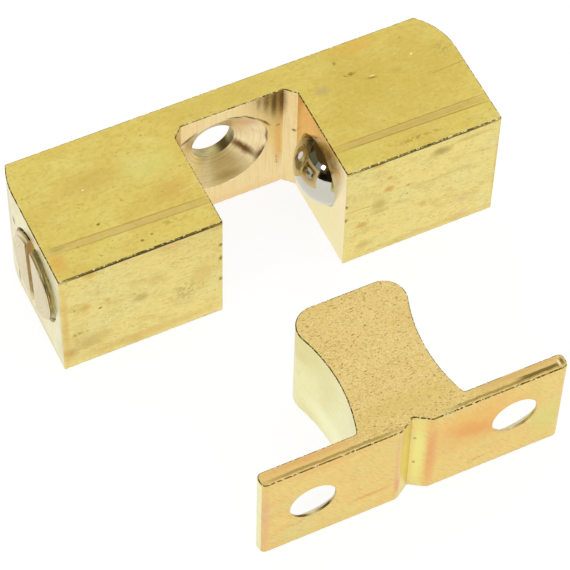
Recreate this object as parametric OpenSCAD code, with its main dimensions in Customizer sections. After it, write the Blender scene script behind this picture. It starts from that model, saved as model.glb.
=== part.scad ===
// Double ball catch for an oven door, with its strike.
// The bar lies on its side: X runs along it, Y from the open side to the mounting face, Z up.
// The origin is the centre of the fixing screw's hole, on the mounting face.

/* [Catch body] */
// Length of the bar
body_length = 60; // [56:0.5:75]
// Depth of the bar, from its open side to its mounting face
body_depth = 19.05; // [18:0.05:24]
// Height of the bar as it lies
body_height = 19.05; // [18:0.05:24]
// Height of the screw's and the balls' axes above the underside
axis_height = 10.5; // [9:0.1:11]
// Length of the left arm
left_arm = 21.7; // [20:0.1:26]
// Along the back from the right end to where its corner is eased
right_ease_along = 2.8; // [0.5:0.1:3.5]
// Down the right end to where its corner is eased
right_ease_deep = 6.5; // [4:0.1:7]
// Along the back from the left end to where its corner is eased
left_ease_along = 0.95; // [0.4:0.05:3]
// Down the left end to where its corner is eased
left_ease_deep = 4.75; // [3.5:0.05:6]

/* [Slot for the strike] */
// Width of the slot between the arms
slot_width = 16.85; // [15.5:0.05:18]
// Depth of the slot from the open side
slot_depth = 15.4; // [14.5:0.1:16]
// Width of the flat facet across each of the slot's inner corners, along either wall
slot_facet = 1.35; // [0.5:0.05:2.5]

/* [Fixing screw] */
// Distance of the screw from the left end
screw_from_left = 28.4; // [28:0.1:32]
// Diameter of the screw's hole
screw_hole = 5.9; // [4:0.1:6.5]
// Diameter of the countersink
sink_diameter = 13.1; // [9:0.1:13.5]
// Full angle of the countersink, which the strike's holes share
sink_angle = 118; // [110:1:130]

/* [Balls] */
// Diameter of a ball
ball_diameter = 11; // [9:0.5:11]
// How far the left ball stands out of its arm
left_standout = 2.2; // [1.5:0.05:3.5]
// How far the right ball stands out of its arm
right_standout = 2.95; // [1.5:0.05:3.5]
// Distance of the balls' axis from the open side
ball_axis_depth = 7.9; // [7:0.1:9]
// Clearance all round a ball in its bore
ball_clearance = 0.1; // [0.03:0.01:0.1]

/* [Springs] */
// Diameter of the spring wire
wire = 0.9; // [0.6:0.1:1.1]
// Outer diameter of a spring
spring_diameter = 9.3; // [7:0.1:9.4]
// Number of turns in a spring, its closed end turns included
spring_turns = 6; // [5:1:6]

/* [Adjusting plugs] */
// Diameter of the threaded hole
thread_diameter = 12; // [11.6:0.1:12.4]
// Clearance all round a plug in its thread
thread_clearance = 0.06; // [0.03:0.01:0.1]
// Depth of the threaded stretch
thread_depth = 8; // [7:0.5:9]
// Length of a plug
plug_length = 5.2; // [4:0.1:6]
// How far a plug stands out of the end of the bar
plug_standout = 0.8; // [0:0.1:1.5]
// Chamfer round a plug's outer face
plug_chamfer = 0.5; // [0.2:0.1:1]
// Width of a plug's screwdriver slot
driver_width = 1.5; // [1:0.1:2]
// Depth of a plug's screwdriver slot
driver_depth = 1.6; // [1:0.1:2.5]
// Turn of the left plug's screwdriver slot away from upright
left_driver_turn = -4; // [-90:1:90]
// Turn of the right plug's screwdriver slot away from upright
right_driver_turn = 25; // [-90:1:90]

/* [Strike] */
// Length of the strike's flange
flange_length = 40.4; // [36:0.1:50]
// Thickness of the flange
flange_thickness = 2; // [1.5:0.1:2.2]
// Rounding of the flange's corners
flange_round = 0.7; // [0.2:0.1:0.7]
// Height of the strike as it lies
strike_height = 15.5; // [15:0.1:19]
// How far the head stands off the flange
head_reach = 18.55; // [17:0.05:20]
// Width across the head
head_width = 14.55; // [14:0.05:15]
// Rounding of the head's corners
head_round = 2.9; // [2:0.1:3.5]
// Width of the waist, where the balls rest
waist_width = 11.7; // [11:0.1:12.5]
// Distance of the waist from the flange
waist_reach = 7.3; // [6:0.1:8.5]
// Fillet between the head and the flange
root_fillet = 0.5; // [0.2:0.1:1]
// Width of the groove down the flange's outer face
groove_width = 4.1; // [2:0.1:6]
// Depth of the groove
groove_depth = 1.3; // [0.5:0.1:1.4]
// Rounding of the groove's two lips
groove_lip = 0.8; // [0.2:0.1:1.5]

/* [Strike screws] */
// Diameter of the strike's holes
strike_hole = 6.1; // [4:0.1:6.5]
// Thickness of the flange left straight round a hole, in front of its countersink
strike_land = 0.35; // [0.2:0.05:1]
// Distance between the strike's holes
hole_spacing = 26.9; // [25:0.1:29]
// Height of the left hole above the underside
left_hole_height = 7.65; // [6.5:0.05:8.8]
// Height of the right hole above the underside
right_hole_height = 8.75; // [6.5:0.05:8.8]

/* [Place of the strike] */
// Gap from the open side of the bar to the tip of the head
strike_gap = 13.5; // [8:0.1:25]
// Sideways distance of the head's middle from the screw's axis
strike_aside = 2.85; // [1:0.05:4]

/* [Hidden] */
$fn = 96;

bar_brass = "#d9c168";
polished_steel = "#6b6256";
spring_steel = "#8f9092";
strike_brass = "#e0c88c";

// How far a cut runs past the face it opens
past = 1;
// Clearance between a spring's end and what it bears on
spring_seat = 0.03;
// Pitch of a closed end turn, as a share of the wire's diameter
closed_pitch = 1.1;
// Sides of a full circle where an outline has a short stretch of a wide arc
wide_arc_sides = 360;
spring_sides = 6;
spring_steps_per_turn = 12;

left_end = -screw_from_left;
right_end = left_end + body_length;
slot_left = left_end + left_arm;
slot_right = slot_left + slot_width;
right_arm = right_end - slot_right;
open_side = -body_depth;
slot_floor = open_side + slot_depth;
underside = -axis_height;

ball_r = ball_diameter / 2;
bore_r = ball_r + ball_clearance;
thread_r = thread_diameter / 2;
plug_r = thread_r - thread_clearance;
ball_axis_y = open_side + ball_axis_depth;
// How far each ball's seat, and with it the ball's centre, lies from its arm's outer end
left_seat = left_arm - ball_r + left_standout;
right_seat = right_arm - ball_r + right_standout;

spring_r = (spring_diameter - wire) / 2;
// How far the spring's last turn lies behind the ball's centre
spring_reach = sqrt(pow(ball_r + wire / 2 + spring_seat, 2) - pow(spring_r, 2));

head_tip = open_side - strike_gap;
flange_face = head_tip - head_reach - flange_thickness;

// Points of the strike's outline, measured from the middle of the flange's outer face
waist_y = flange_thickness + waist_reach;
head_y = flange_thickness + head_reach - head_round;
head_x = head_width / 2 - head_round;
waist_x = waist_width / 2;
// The waist's arc runs smoothly into the head's rounded corners
waist_radius = (pow(waist_x - head_x, 2) + pow(head_y - waist_y, 2) - pow(head_round, 2))
    / (head_width - waist_width);
waist_centre = waist_x + waist_radius;
// The point where the waist's arc meets the corner's
blend = [head_x, head_y] + [waist_centre - head_x, waist_y - head_y]
    * head_round / (waist_radius + head_round);
// The centre of the fillet at the head's root, and the point where it meets the waist's arc
root_y = flange_thickness + root_fillet;
root_x = waist_centre - sqrt(pow(waist_radius - root_fillet, 2) - pow(waist_y - root_y, 2));
root_blend = [waist_centre, waist_y] + [root_x - waist_centre, root_y - waist_y]
    * waist_radius / (waist_radius - root_fillet);

// Removes the corner of a square outline with an arc that leaves the end face smoothly.
// The corner lies at the origin and the outline lies towards -X and -Y.
module eased_corner(along, deep) {
    radius = (along * along + deep * deep) / (2 * along);
    difference() {
        translate([-along - past, -deep]) square([along + 2 * past, deep + past]);
        translate([-radius, -deep]) circle(r = radius, $fn = wide_arc_sides);
    }
}

// The outline of the slot, open at its lower edge, with a flat facet across each inner corner.
module slot_outline() {
    facet_y = slot_depth - slot_facet;
    polygon([[0, -past], [0, facet_y], [slot_facet, slot_depth],
             [slot_width - slot_facet, slot_depth], [slot_width, facet_y], [slot_width, -past]]);
}

module bar_outline() {
    difference() {
        translate([left_end, open_side]) square([body_length, body_depth]);
        translate([right_end, 0]) eased_corner(right_ease_along, right_ease_deep);
        translate([left_end, 0]) mirror([1, 0]) eased_corner(left_ease_along, left_ease_deep);
        translate([slot_left, open_side]) slot_outline();
    }
}

// A ball's bore. It starts at its arm's outer end, at the origin, and runs along +X to a round
// seat that keeps the ball in.
module ball_bore(seat) {
    rotate([0, 90, 0]) {
        translate([0, 0, -past]) cylinder(r = thread_r, h = thread_depth + past);
        cylinder(r = bore_r, h = seat);
        translate([0, 0, seat]) sphere(r = bore_r);
    }
}

// The countersunk hole, from the slot's floor through to the mounting face.
module screw_bore() {
    wall = -slot_floor;
    sink_depth = (sink_diameter - screw_hole) / 2 / tan(sink_angle / 2);
    translate([0, slot_floor, 0]) rotate([-90, 0, 0]) {
        cylinder(d = screw_hole, h = wall + past);
        cylinder(d1 = sink_diameter, d2 = screw_hole, h = sink_depth);
        translate([0, 0, -past]) cylinder(d = sink_diameter, h = past);
    }
}

// Places its children at the outer end of the left arm, on the balls' axis.
module at_left() {
    translate([left_end, ball_axis_y, 0]) children();
}

// Places its children at the outer end of the right arm, turned to face the slot.
module at_right() {
    translate([right_end, ball_axis_y, 0]) mirror([1, 0, 0]) children();
}

module catch_body() {
    color(bar_brass) difference() {
        translate([0, 0, underside]) linear_extrude(body_height) bar_outline();
        at_left() ball_bore(left_seat);
        at_right() ball_bore(right_seat);
        screw_bore();
    }
}

module ball(seat) {
    color(polished_steel) translate([seat, 0, 0]) sphere(r = ball_r);
}

module ball_left() {
    at_left() ball(left_seat);
}

module ball_right() {
    at_right() ball(right_seat);
}

// How far along the spring the wire has come after a number of turns. The first and the last
// turn are closed, and the turns between share the rest of the length evenly.
function coil_advance(turns, length) =
    let (
        closed = wire * closed_pitch,
        open = (length - 2 * closed) / (spring_turns - 2)
    )
    closed * min(turns, 1)
        + open * max(0, min(turns - 1, spring_turns - 2))
        + closed * max(0, turns - spring_turns + 1);

// One ring of the wire: its points round the coil's centre line after a number of turns.
function wire_ring(turns, x) =
    [for (side = [0 : spring_sides - 1])
        let (
            around = 360 * side / spring_sides,
            radius = spring_r + wire / 2 * cos(around)
        )
        [x + wire / 2 * sin(around), radius * cos(360 * turns), radius * sin(360 * turns)]];

// A coil spring from a plug's inner face to the back of the ball.
module spring(seat) {
    start = plug_length - plug_standout + wire / 2 + spring_seat;
    length = seat - spring_reach - start;
    steps = spring_turns * spring_steps_per_turn;
    rings = [for (i = [0 : steps])
        let (turns = i / spring_steps_per_turn)
        wire_ring(turns, start + coil_advance(turns, length))];
    points = [for (ring = rings) each ring];
    sides = [for (i = [0 : steps - 1], s = [0 : spring_sides - 1])
        let (a = i * spring_sides, b = a + spring_sides, next = (s + 1) % spring_sides)
        [a + s, a + next, b + next, b + s]];
    first = [for (s = [spring_sides - 1 : -1 : 0]) s];
    last = [for (s = [0 : spring_sides - 1]) steps * spring_sides + s];
    color(spring_steel) polyhedron(points, concat([first], sides, [last]));
}

module spring_left() {
    at_left() spring(left_seat);
}

module spring_right() {
    at_right() spring(right_seat);
}

// A plug that screws into an arm's outer end and sets its spring, with a screwdriver slot.
module adjuster(driver_turn) {
    color(bar_brass) translate([-plug_standout, 0, 0]) rotate([driver_turn, 0, 0]) difference() {
        rotate([0, 90, 0]) {
            cylinder(r1 = plug_r - plug_chamfer, r2 = plug_r, h = plug_chamfer);
            translate([0, 0, plug_chamfer]) cylinder(r = plug_r, h = plug_length - plug_chamfer);
        }
        translate([-past, -driver_width / 2, -thread_diameter])
            cube([driver_depth + past, driver_width, 2 * thread_diameter]);
    }
}

module adjuster_left() {
    at_left() adjuster(left_driver_turn);
}

module adjuster_right() {
    at_right() adjuster(right_driver_turn);
}

// The flange's outline. Its outer face lies on the X axis.
module flange_outline() {
    half = flange_length / 2;
    translate([-half + flange_round, 0]) square([flange_length - 2 * flange_round, flange_thickness]);
    translate([-half, flange_round]) square([flange_length, flange_thickness - 2 * flange_round]);
    for (side = [-1, 1], y = [flange_round, flange_thickness - flange_round])
        translate([side * (half - flange_round), y]) circle(r = flange_round);
}

// The head's outline: a core, and on it the root, the waist and the tip, cut off at level lines
// where their arcs meet.
module head_outline() {
    translate([-head_x, 0]) square([2 * head_x, head_y + head_round]);
    difference() {
        translate([-root_x, 0]) square([2 * root_x, root_blend[1]]);
        for (side = [-1, 1])
            translate([side * root_x, root_y]) circle(r = root_fillet);
    }
    difference() {
        translate([-head_width / 2, root_blend[1]]) square([head_width, blend[1] - root_blend[1]]);
        for (side = [-1, 1])
            translate([side * waist_centre, waist_y]) circle(r = waist_radius, $fn = wide_arc_sides);
    }
    intersection() {
        translate([-head_width, blend[1]]) square([2 * head_width, head_reach]);
        for (side = [-1, 1])
            translate([side * head_x, head_y]) circle(r = head_round);
    }
}

// The V groove in the flange's outer face. An arc rounds each of its two lips.
module groove_outline() {
    half = groove_width / 2;
    slope = atan(groove_depth / half);
    set_back = groove_lip * tan(slope / 2);
    lip_x = half + set_back;
    flank = [half - set_back * cos(slope), set_back * sin(slope)];
    difference() {
        polygon([[-lip_x, -past], [-lip_x, 0], [-flank[0], flank[1]], [0, groove_depth],
                 flank, [lip_x, 0], [lip_x, -past]]);
        for (side = [-1, 1])
            translate([side * lip_x, groove_lip]) circle(r = groove_lip);
    }
}

module strike() {
    color(strike_brass) translate([strike_aside, flange_face, underside]) difference() {
        linear_extrude(strike_height) difference() {
            union() {
                flange_outline();
                head_outline();
            }
            groove_outline();
        }
        translate([-hole_spacing / 2, 0, left_hole_height]) strike_bore();
        translate([hole_spacing / 2, 0, right_hole_height]) strike_bore();
    }
}

// A screw hole, countersunk from the head's side. It starts on the flange's outer face, at the
// origin, and runs along +Y.
module strike_bore() {
    sink_depth = flange_thickness - strike_land;
    sink_r = strike_hole / 2 + sink_depth * tan(sink_angle / 2);
    rotate([-90, 0, 0]) {
        translate([0, 0, -past]) cylinder(d = strike_hole, h = flange_thickness + past);
        translate([0, 0, strike_land]) cylinder(r1 = strike_hole / 2, r2 = sink_r, h = sink_depth);
        translate([0, 0, flange_thickness]) cylinder(r = sink_r, h = past);
    }
}

catch_body();
ball_left();
ball_right();
spring_left();
spring_right();
adjuster_left();
adjuster_right();
strike();
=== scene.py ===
"""A brass double ball catch for an oven door, and its strike, laid out in a small studio.

The catch is a slotted bar with a sprung steel ball in each arm, set by a screw plug in each
end. The strike is a drawn profile, sawn to length. Sizes are in millimetres in the frame of
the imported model, and become metres where a mesh is made. Each shape is worked out as a whole
array: an outline carried up, a profile turned about an axis, or a wire wound along a coil.
"""

import logging
import math
from dataclasses import dataclass
from enum import Enum
from typing import Protocol

import bpy
import numpy as np
from mathutils import Matrix


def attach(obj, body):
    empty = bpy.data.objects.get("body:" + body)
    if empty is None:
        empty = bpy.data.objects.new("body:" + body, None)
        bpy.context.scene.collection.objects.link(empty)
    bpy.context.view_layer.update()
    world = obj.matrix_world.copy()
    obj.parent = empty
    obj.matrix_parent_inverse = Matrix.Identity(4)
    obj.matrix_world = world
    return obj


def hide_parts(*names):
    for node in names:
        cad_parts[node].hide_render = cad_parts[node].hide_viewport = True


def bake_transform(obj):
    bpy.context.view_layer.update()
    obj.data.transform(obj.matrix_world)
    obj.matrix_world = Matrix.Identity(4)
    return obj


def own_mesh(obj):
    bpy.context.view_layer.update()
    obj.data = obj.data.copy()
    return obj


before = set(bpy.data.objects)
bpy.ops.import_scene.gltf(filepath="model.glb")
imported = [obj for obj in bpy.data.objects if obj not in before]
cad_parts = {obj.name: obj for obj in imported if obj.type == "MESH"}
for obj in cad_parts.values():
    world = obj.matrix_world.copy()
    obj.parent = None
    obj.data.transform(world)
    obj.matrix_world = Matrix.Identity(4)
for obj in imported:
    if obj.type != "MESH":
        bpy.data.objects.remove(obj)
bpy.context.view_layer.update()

log = logging.getLogger("oven_door_latch")

Piece = bpy.types.Object
Tree = bpy.types.NodeTree
Socket = bpy.types.NodeSocket
Node = bpy.types.Node
Triple = tuple[float, float, float]
Outline = tuple[np.ndarray, np.ndarray]

MM = 0.001
WHITE = (1.0, 1.0, 1.0, 1.0)
# Both pieces stand on their undersides, and the balls lie on one line. In mm.
UNDERSIDE = -10.5
BALL_AXIS_Y = -11.15
# How far a cutter reaches past the metal, in mm.
PAST = 1.0
# Noise values between which the breaks in a mark close.
BREAKS = (0.44, 0.54)


class Axis(Enum):
    """The direction in which a turned shape lies, as three columns: along, across, across."""

    ALONG_X = ((1, 0, 0), (0, 1, 0), (0, 0, 1))
    AGAINST_X = ((-1, 0, 0), (0, -1, 0), (0, 0, 1))
    ALONG_Y = ((0, 1, 0), (0, 0, 1), (1, 0, 0))


class Shape(Enum):
    """How a mark fades out: where it is still whole and where it has gone, in half extents."""

    ROUND = (0.2, 1.4)
    BAND = (0.6, 1.2)


# Outlines


@dataclass(frozen=True)
class Bend:
    """An arc of an outline, with its start and end angles in degrees."""

    centre: tuple[float, float]
    radius: float
    start: float
    end: float

    def run(self, step: float) -> Outline:
        """Points along the arc, and the directions that lead out of the solid.

        A point is the centre plus the radius at an even angle. The way out is the radius
        itself, or its opposite where the arc runs clockwise and so hollows the outline.

        Args:
            step: Longest distance between two points, in mm.

        Returns:
            Points and unit directions, each of shape (n, 2).
        """
        length = math.radians(abs(self.end - self.start)) * self.radius
        count = max(4, math.ceil(length / step) + 1)
        angle = np.radians(np.linspace(self.start, self.end, count))
        spoke = np.stack([np.cos(angle), np.sin(angle)], axis=1)
        outward = math.copysign(1, self.end - self.start) * spoke
        return np.array(self.centre) + self.radius * spoke, outward

    def mirrored(self) -> "Bend":
        """The same arc on the other side of the line x = 0, run in the outline's direction."""
        x, y = self.centre
        return Bend((-x, y), self.radius, 180 - self.end, 180 - self.start)

    def moved(self, x: float, y: float) -> "Bend":
        """The same arc, moved by x and y."""
        return Bend((self.centre[0] + x, self.centre[1] + y), self.radius, self.start, self.end)


def rounded(before: tuple, corner: tuple, after: tuple, radius: float) -> Bend:
    """The arc that rounds a corner between two straight lines.

    It touches each line at the radius times the tangent of half the turn from the corner,
    and its centre lies one radius to the side that the outline turns to.

    Args:
        before: A point on the line that comes in.
        corner: The sharp corner.
        after: A point on the line that goes out.
        radius: Radius of the arc, in mm.

    Returns:
        The arc.
    """
    inward = np.subtract(corner, before) / np.linalg.norm(np.subtract(corner, before))
    outward = np.subtract(after, corner) / np.linalg.norm(np.subtract(after, corner))
    turn = math.atan2(inward[0] * outward[1] - inward[1] * outward[0], float(inward @ outward))
    side = math.copysign(1, turn)
    touch = np.array(corner) - inward * radius * math.tan(abs(turn) / 2)
    centre = touch + side * radius * np.array([-inward[1], inward[0]])
    start = math.degrees(math.atan2(*(touch - centre)[::-1]))
    return Bend(tuple(centre), radius, start, start + math.degrees(turn))


def closed_outline(bends: list[Bend], step: float) -> Outline:
    """Joins arcs by straight lines to one closed outline, run anticlockwise.

    Args:
        bends: The arcs, in order.
        step: Longest distance between two points, in mm.

    Returns:
        Points and unit directions out of the solid, each of shape (n, 2).
    """
    points, ways = [], []
    arcs = [bend.run(step) for bend in bends]
    for (here, way), (following, _) in zip(arcs, arcs[1:] + arcs[:1]):
        gap = following[0] - here[-1]
        length = float(np.linalg.norm(gap))
        share = np.linspace(0, 1, max(2, math.ceil(length / step) + 1))[1:-1, None]
        side = np.array([gap[1], -gap[0]]) / max(length, 1e-9)
        points += [here, here[-1] + share * gap]
        ways += [way, np.broadcast_to(side, (len(share), 2))]
    return np.concatenate(points), np.concatenate(ways)


# Surfaces


def skin(rows: int, columns: int) -> list[tuple[int, ...]]:
    """Faces of a tube of points, closed round its columns, with a flat face over each end.

    Args:
        rows: Rings of points.
        columns: Points in a ring.

    Returns:
        One tuple of point numbers for each face, facing outwards.
    """
    row, column = np.meshgrid(np.arange(rows - 1), np.arange(columns), indexing="ij")
    beside = (column + 1) % columns
    corners = [row * columns + column, row * columns + beside,
               (row + 1) * columns + beside, (row + 1) * columns + column]
    sides = np.stack(corners, axis=-1).reshape(-1, 4)
    first = tuple(range(columns - 1, -1, -1))
    last = tuple(range((rows - 1) * columns, rows * columns))
    return [first, *map(tuple, sides.tolist()), last]


def placed(name: str, data: bpy.types.ID) -> Piece:
    """Makes an object of a mesh, a lamp or a camera, and puts it in the scene.

    Args:
        name: Name of the object.
        data: Its mesh, lamp or camera.

    Returns:
        The object.
    """
    made = bpy.data.objects.new(name, data)
    bpy.context.scene.collection.objects.link(made)
    return made


def sheet(name: str, half_x: float, half_y: float, height: float = 0.0) -> Piece:
    """A flat sheet about the origin that faces up, from its half extents, in metres.

    Args:
        name: Name of the object.
        half_x: Half its length along X.
        half_y: Half its length along Y.
        height: Its height.

    Returns:
        The object.
    """
    mesh = bpy.data.meshes.new(name)
    corners = [(-half_x, -half_y, height), (half_x, -half_y, height),
               (half_x, half_y, height), (-half_x, half_y, height)]
    mesh.from_pydata(corners, [], [(0, 1, 2, 3)])
    return placed(name, mesh)


def solid(name: str, grid: np.ndarray) -> Piece:
    """Makes a closed object from rings of points.

    Args:
        name: Name of the object.
        grid: Points in mm, of shape (rows, columns, 3).

    Returns:
        The object, at the origin, with smooth faces.
    """
    rows, columns, _ = grid.shape
    mesh = bpy.data.meshes.new(name)
    mesh.from_pydata((grid.reshape(-1, 3) * MM).tolist(), [], skin(rows, columns))
    mesh.update()
    mesh.shade_smooth()
    return placed(name, mesh)


def carried_up(name: str, outline: Outline, low: float, high: float, soft: float,
               storeys: int = 14) -> Piece:
    """Carries an outline up from one height to another, with softened edges above and below.

    Each ring is the outline moved inwards by soft times one minus the sine of an angle, at a
    height of soft times one minus its cosine from the end, so the edge is a quarter circle.

    Args:
        name: Name of the object.
        outline: Points and directions out of the solid.
        low: Height of the lower face, in mm.
        high: Height of the upper face, in mm.
        soft: Radius of the two edges, in mm.
        storeys: Rings between the two edges.

    Returns:
        The object.
    """
    points, ways = outline
    angle = np.radians(np.linspace(0, 90, 5))
    inset = soft * (1 - np.sin(angle))
    rise = soft * (1 - np.cos(angle))
    between = np.linspace(low + soft, high - soft, storeys + 2)[1:-1]
    insets = np.concatenate([inset, np.zeros(storeys), inset[::-1]])
    heights = np.concatenate([low + rise, between, (high - rise)[::-1]])
    flat = points[None] - insets[:, None, None] * ways[None]
    level = np.broadcast_to(heights[:, None, None], (len(heights), len(points), 1))
    return solid(name, np.concatenate([flat, level], axis=-1))


def turned(name: str, profile: list[tuple[float, float]], start: tuple, axis: Axis,
           sides: int = 128) -> Piece:
    """Turns a profile about an axis, as a lathe does.

    A point is the start, plus the distance along the axis, plus the radius at an even angle
    round it.

    Args:
        name: Name of the object.
        profile: Distances along the axis and radii, in mm, from one end to the other.
        start: The point on the axis from which the distances run, in mm.
        axis: Direction of the axis.
        sides: Points round the axis.

    Returns:
        The object.
    """
    along, radius = np.array(profile, dtype=float).T[:, :, None]
    angle = np.linspace(0, 2 * np.pi, sides, endpoint=False)[None]
    local = np.stack([along + 0 * angle, radius * np.cos(angle), radius * np.sin(angle)], axis=-1)
    return solid(name, np.array(start) + local @ np.array(axis.value))


def cut(piece: Piece, *cutters: Piece) -> None:
    """Takes the cutters' shapes out of a piece for good, and removes the cutters.

    Args:
        piece: The piece.
        *cutters: The shapes to take out.
    """
    for cutter in cutters:
        tool = piece.modifiers.new(cutter.name, "BOOLEAN")
        tool.operation = "DIFFERENCE"
        tool.solver = "EXACT"
        tool.object = cutter
    shaped = piece.evaluated_get(bpy.context.evaluated_depsgraph_get())
    mesh = bpy.data.meshes.new_from_object(shaped)
    piece.modifiers.clear()
    piece.data = mesh
    for cutter in cutters:
        bpy.data.objects.remove(cutter)


def crisp(piece: Piece, degrees: float = 24) -> None:
    """Keeps the edges that turn by more than an angle sharp, and the faces between them even.

    Args:
        piece: The piece.
        degrees: The least turn of an edge that stays sharp.
    """
    piece.data.shade_smooth()
    piece.data.set_sharp_from_angle(angle=math.radians(degrees))
    even = piece.modifiers.new("even faces", "WEIGHTED_NORMAL")
    even.keep_sharp = True


def faces_of(piece: Piece) -> tuple[np.ndarray, np.ndarray]:
    """Middles, in mm, and directions of a piece's faces, each of shape (n, 3).

    Args:
        piece: The piece.

    Returns:
        The middles and the directions.
    """
    polygons = piece.data.polygons
    middle, way = (np.empty(len(polygons) * 3) for _ in range(2))
    polygons.foreach_get("center", middle)
    polygons.foreach_get("normal", way)
    return middle.reshape(-1, 3) / MM, way.reshape(-1, 3)


def seat(piece: Piece, node: str, body: str) -> None:
    """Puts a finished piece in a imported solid's place, on its body, and reports it.

    Args:
        piece: The finished piece.
        node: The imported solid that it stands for.
        body: The body that it rides on.
    """
    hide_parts(node)
    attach(piece, body)
    log.info("%s stands for %s and rides on %s, %d faces",
             piece.name, node, body, len(piece.data.polygons))


# Finishes


def tone(written: str) -> tuple[float, float, float, float]:
    """Turns an sRGB hex colour into linear light.

    Each channel is divided by 12.92 below 0.04045, and otherwise raised by 0.055, divided by
    1.055 and taken to the power 2.4.

    Args:
        written: The colour, as a hash mark and six digits.

    Returns:
        Red, green and blue in linear light, and 1.
    """
    channels = np.array([int(written[i:i + 2], 16) for i in (1, 3, 5)]) / 255
    light = np.where(channels <= 0.04045, channels / 12.92, ((channels + 0.055) / 1.055) ** 2.4)
    return (*map(float, light), 1.0)


def add(tree: Tree, kind: str, inputs: dict | None = None, **settings: object) -> Node:
    """Adds a node with its settings, and links or sets its inputs.

    Args:
        tree: The node tree.
        kind: Blender's name for the node.
        inputs: A socket to link, or a value to set, for each input's name or number.
        **settings: The node's own properties.

    Returns:
        The node.
    """
    node = tree.nodes.new(kind)
    for name, value in settings.items():
        setattr(node, name, value)
    for key, value in (inputs or {}).items():
        if isinstance(value, Socket):
            tree.links.new(value, node.inputs[key])
        else:
            node.inputs[key].default_value = value
    return node


def new_material(name: str) -> tuple[bpy.types.Material, Tree]:
    """An empty material and its node tree.

    Args:
        name: Name of the material.

    Returns:
        The material and its tree.
    """
    material = bpy.data.materials.new(name)
    material.use_nodes = True
    material.node_tree.nodes.clear()
    return material, material.node_tree


@dataclass(frozen=True)
class Finish:
    """A finish of the metal. It is one material, however many faces and pieces take it."""

    name: str

    def surface(self, tree: Tree) -> Node:
        """Adds the nodes of the finish, and returns its shader."""
        raise NotImplementedError

    def material(self) -> bpy.types.Material:
        """The finish as a material, made the first time that it is asked for.

        Returns:
            The material.
        """
        known = bpy.data.materials.get(self.name)
        if known:
            return known
        made, tree = new_material(self.name)
        add(tree, "ShaderNodeOutputMaterial", {0: self.surface(tree).outputs[0]})
        return made


Rule = tuple[Finish, np.ndarray]


def paint(piece: Piece, base: Finish, *rules: Rule) -> None:
    """Gives each face of a piece its finish.

    Args:
        piece: The piece.
        base: The finish of the faces that no rule takes.
        *rules: A finish, and whether each face takes it. A later rule wins.
    """
    finishes, choice = [base], np.zeros(len(piece.data.polygons), dtype=np.int32)
    for finish, taken in rules:
        if finish not in finishes:
            finishes.append(finish)
        choice[taken] = finishes.index(finish)
    piece.data.materials.clear()
    for finish in finishes:
        piece.data.materials.append(finish.material())
    piece.data.polygons.foreach_set("material_index", choice)
    piece.data.update()


class Layer(Protocol):
    """A pattern or mark that gives the metal another colour, and a height in mm, where it lies."""

    colour: str
    depth: float

    def mask(self, tree: Tree, place: Socket, pull: Socket) -> Socket:
        """How much of the layer there is at a point, from 0 to its strength.

        Args:
            tree: The node tree.
            place: Object coordinates.
            pull: Noise round zero, of about half a unit.

        Returns:
            The mask's socket.
        """


def metres(sizes: Triple) -> Triple:
    """A place or size in mm, in metres."""
    return tuple(value * MM for value in sizes)


def turned_by(angles: Triple) -> Triple:
    """Angles in degrees, in radians."""
    return tuple(math.radians(angle) for angle in angles)


@dataclass(frozen=True)
class Grain:
    """A fine pattern in the metal: its size along its own X, Y and Z, which turn is the turn of.

    Low and high are the noise values between which the pattern sets in.
    """

    size: Triple
    colour: str
    strength: float
    low: float = 0.5
    high: float = 0.7
    detail: float = 2.0
    depth: float = 0.0
    turn: Triple = (0.0, 0.0, 0.0)

    def mask(self, tree: Tree, place: Socket, pull: Socket) -> Socket:
        """Noise in the turned and stretched place, spread between its low and high values.

        Args:
            tree: The node tree.
            place: Object coordinates.
            pull: Noise round zero, of about half a unit. Not used.

        Returns:
            The mask's socket.
        """
        own = add(tree, "ShaderNodeMapping",
                  {"Vector": place, "Rotation": turned_by(self.turn), "Scale": metres(self.size)},
                  vector_type="TEXTURE").outputs[0]
        noise = add(tree, "ShaderNodeTexNoise",
                    {"Vector": own, "Scale": 1.0, "Detail": self.detail})
        return add(tree, "ShaderNodeMapRange", {0: noise.outputs[0], 1: self.low, 2: self.high,
                                                3: 0.0, 4: self.strength}).outputs[0]


@dataclass(frozen=True)
class Rings:
    """The rings that a turning tool leaves round an axis, closer or wider as its feed goes.

    Keep is 1 in the directions across the axis and 0 along it. The pattern is noise of the
    distance from the axis in pitches, and sets in between its low and high values.
    """

    at: Triple
    keep: Triple
    pitch: float
    colour: str
    strength: float
    depth: float = 0.0
    low: float = 0.45
    high: float = 0.65

    def mask(self, tree: Tree, place: Socket, pull: Socket) -> Socket:
        """Noise along the distance from the axis, spread from none to the rings' strength.

        Args:
            tree: The node tree.
            place: Object coordinates.
            pull: Noise round zero, of about half a unit. Not used.

        Returns:
            The mask's socket.
        """
        offset = add(tree, "ShaderNodeVectorMath", {0: place, 1: metres(self.at)},
                     operation="SUBTRACT").outputs[0]
        across = add(tree, "ShaderNodeVectorMath", {0: offset, 1: self.keep},
                     operation="MULTIPLY").outputs[0]
        reach = add(tree, "ShaderNodeVectorMath", {0: across}, operation="LENGTH").outputs["Value"]
        noise = add(tree, "ShaderNodeTexNoise",
                    {"W": reach, "Scale": 1 / (self.pitch * MM), "Detail": 1.0},
                    noise_dimensions="1D")
        return add(tree, "ShaderNodeMapRange", {0: noise.outputs[0], 1: self.low, 2: self.high,
                                                3: 0.0, 4: self.strength}).outputs[0]


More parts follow.
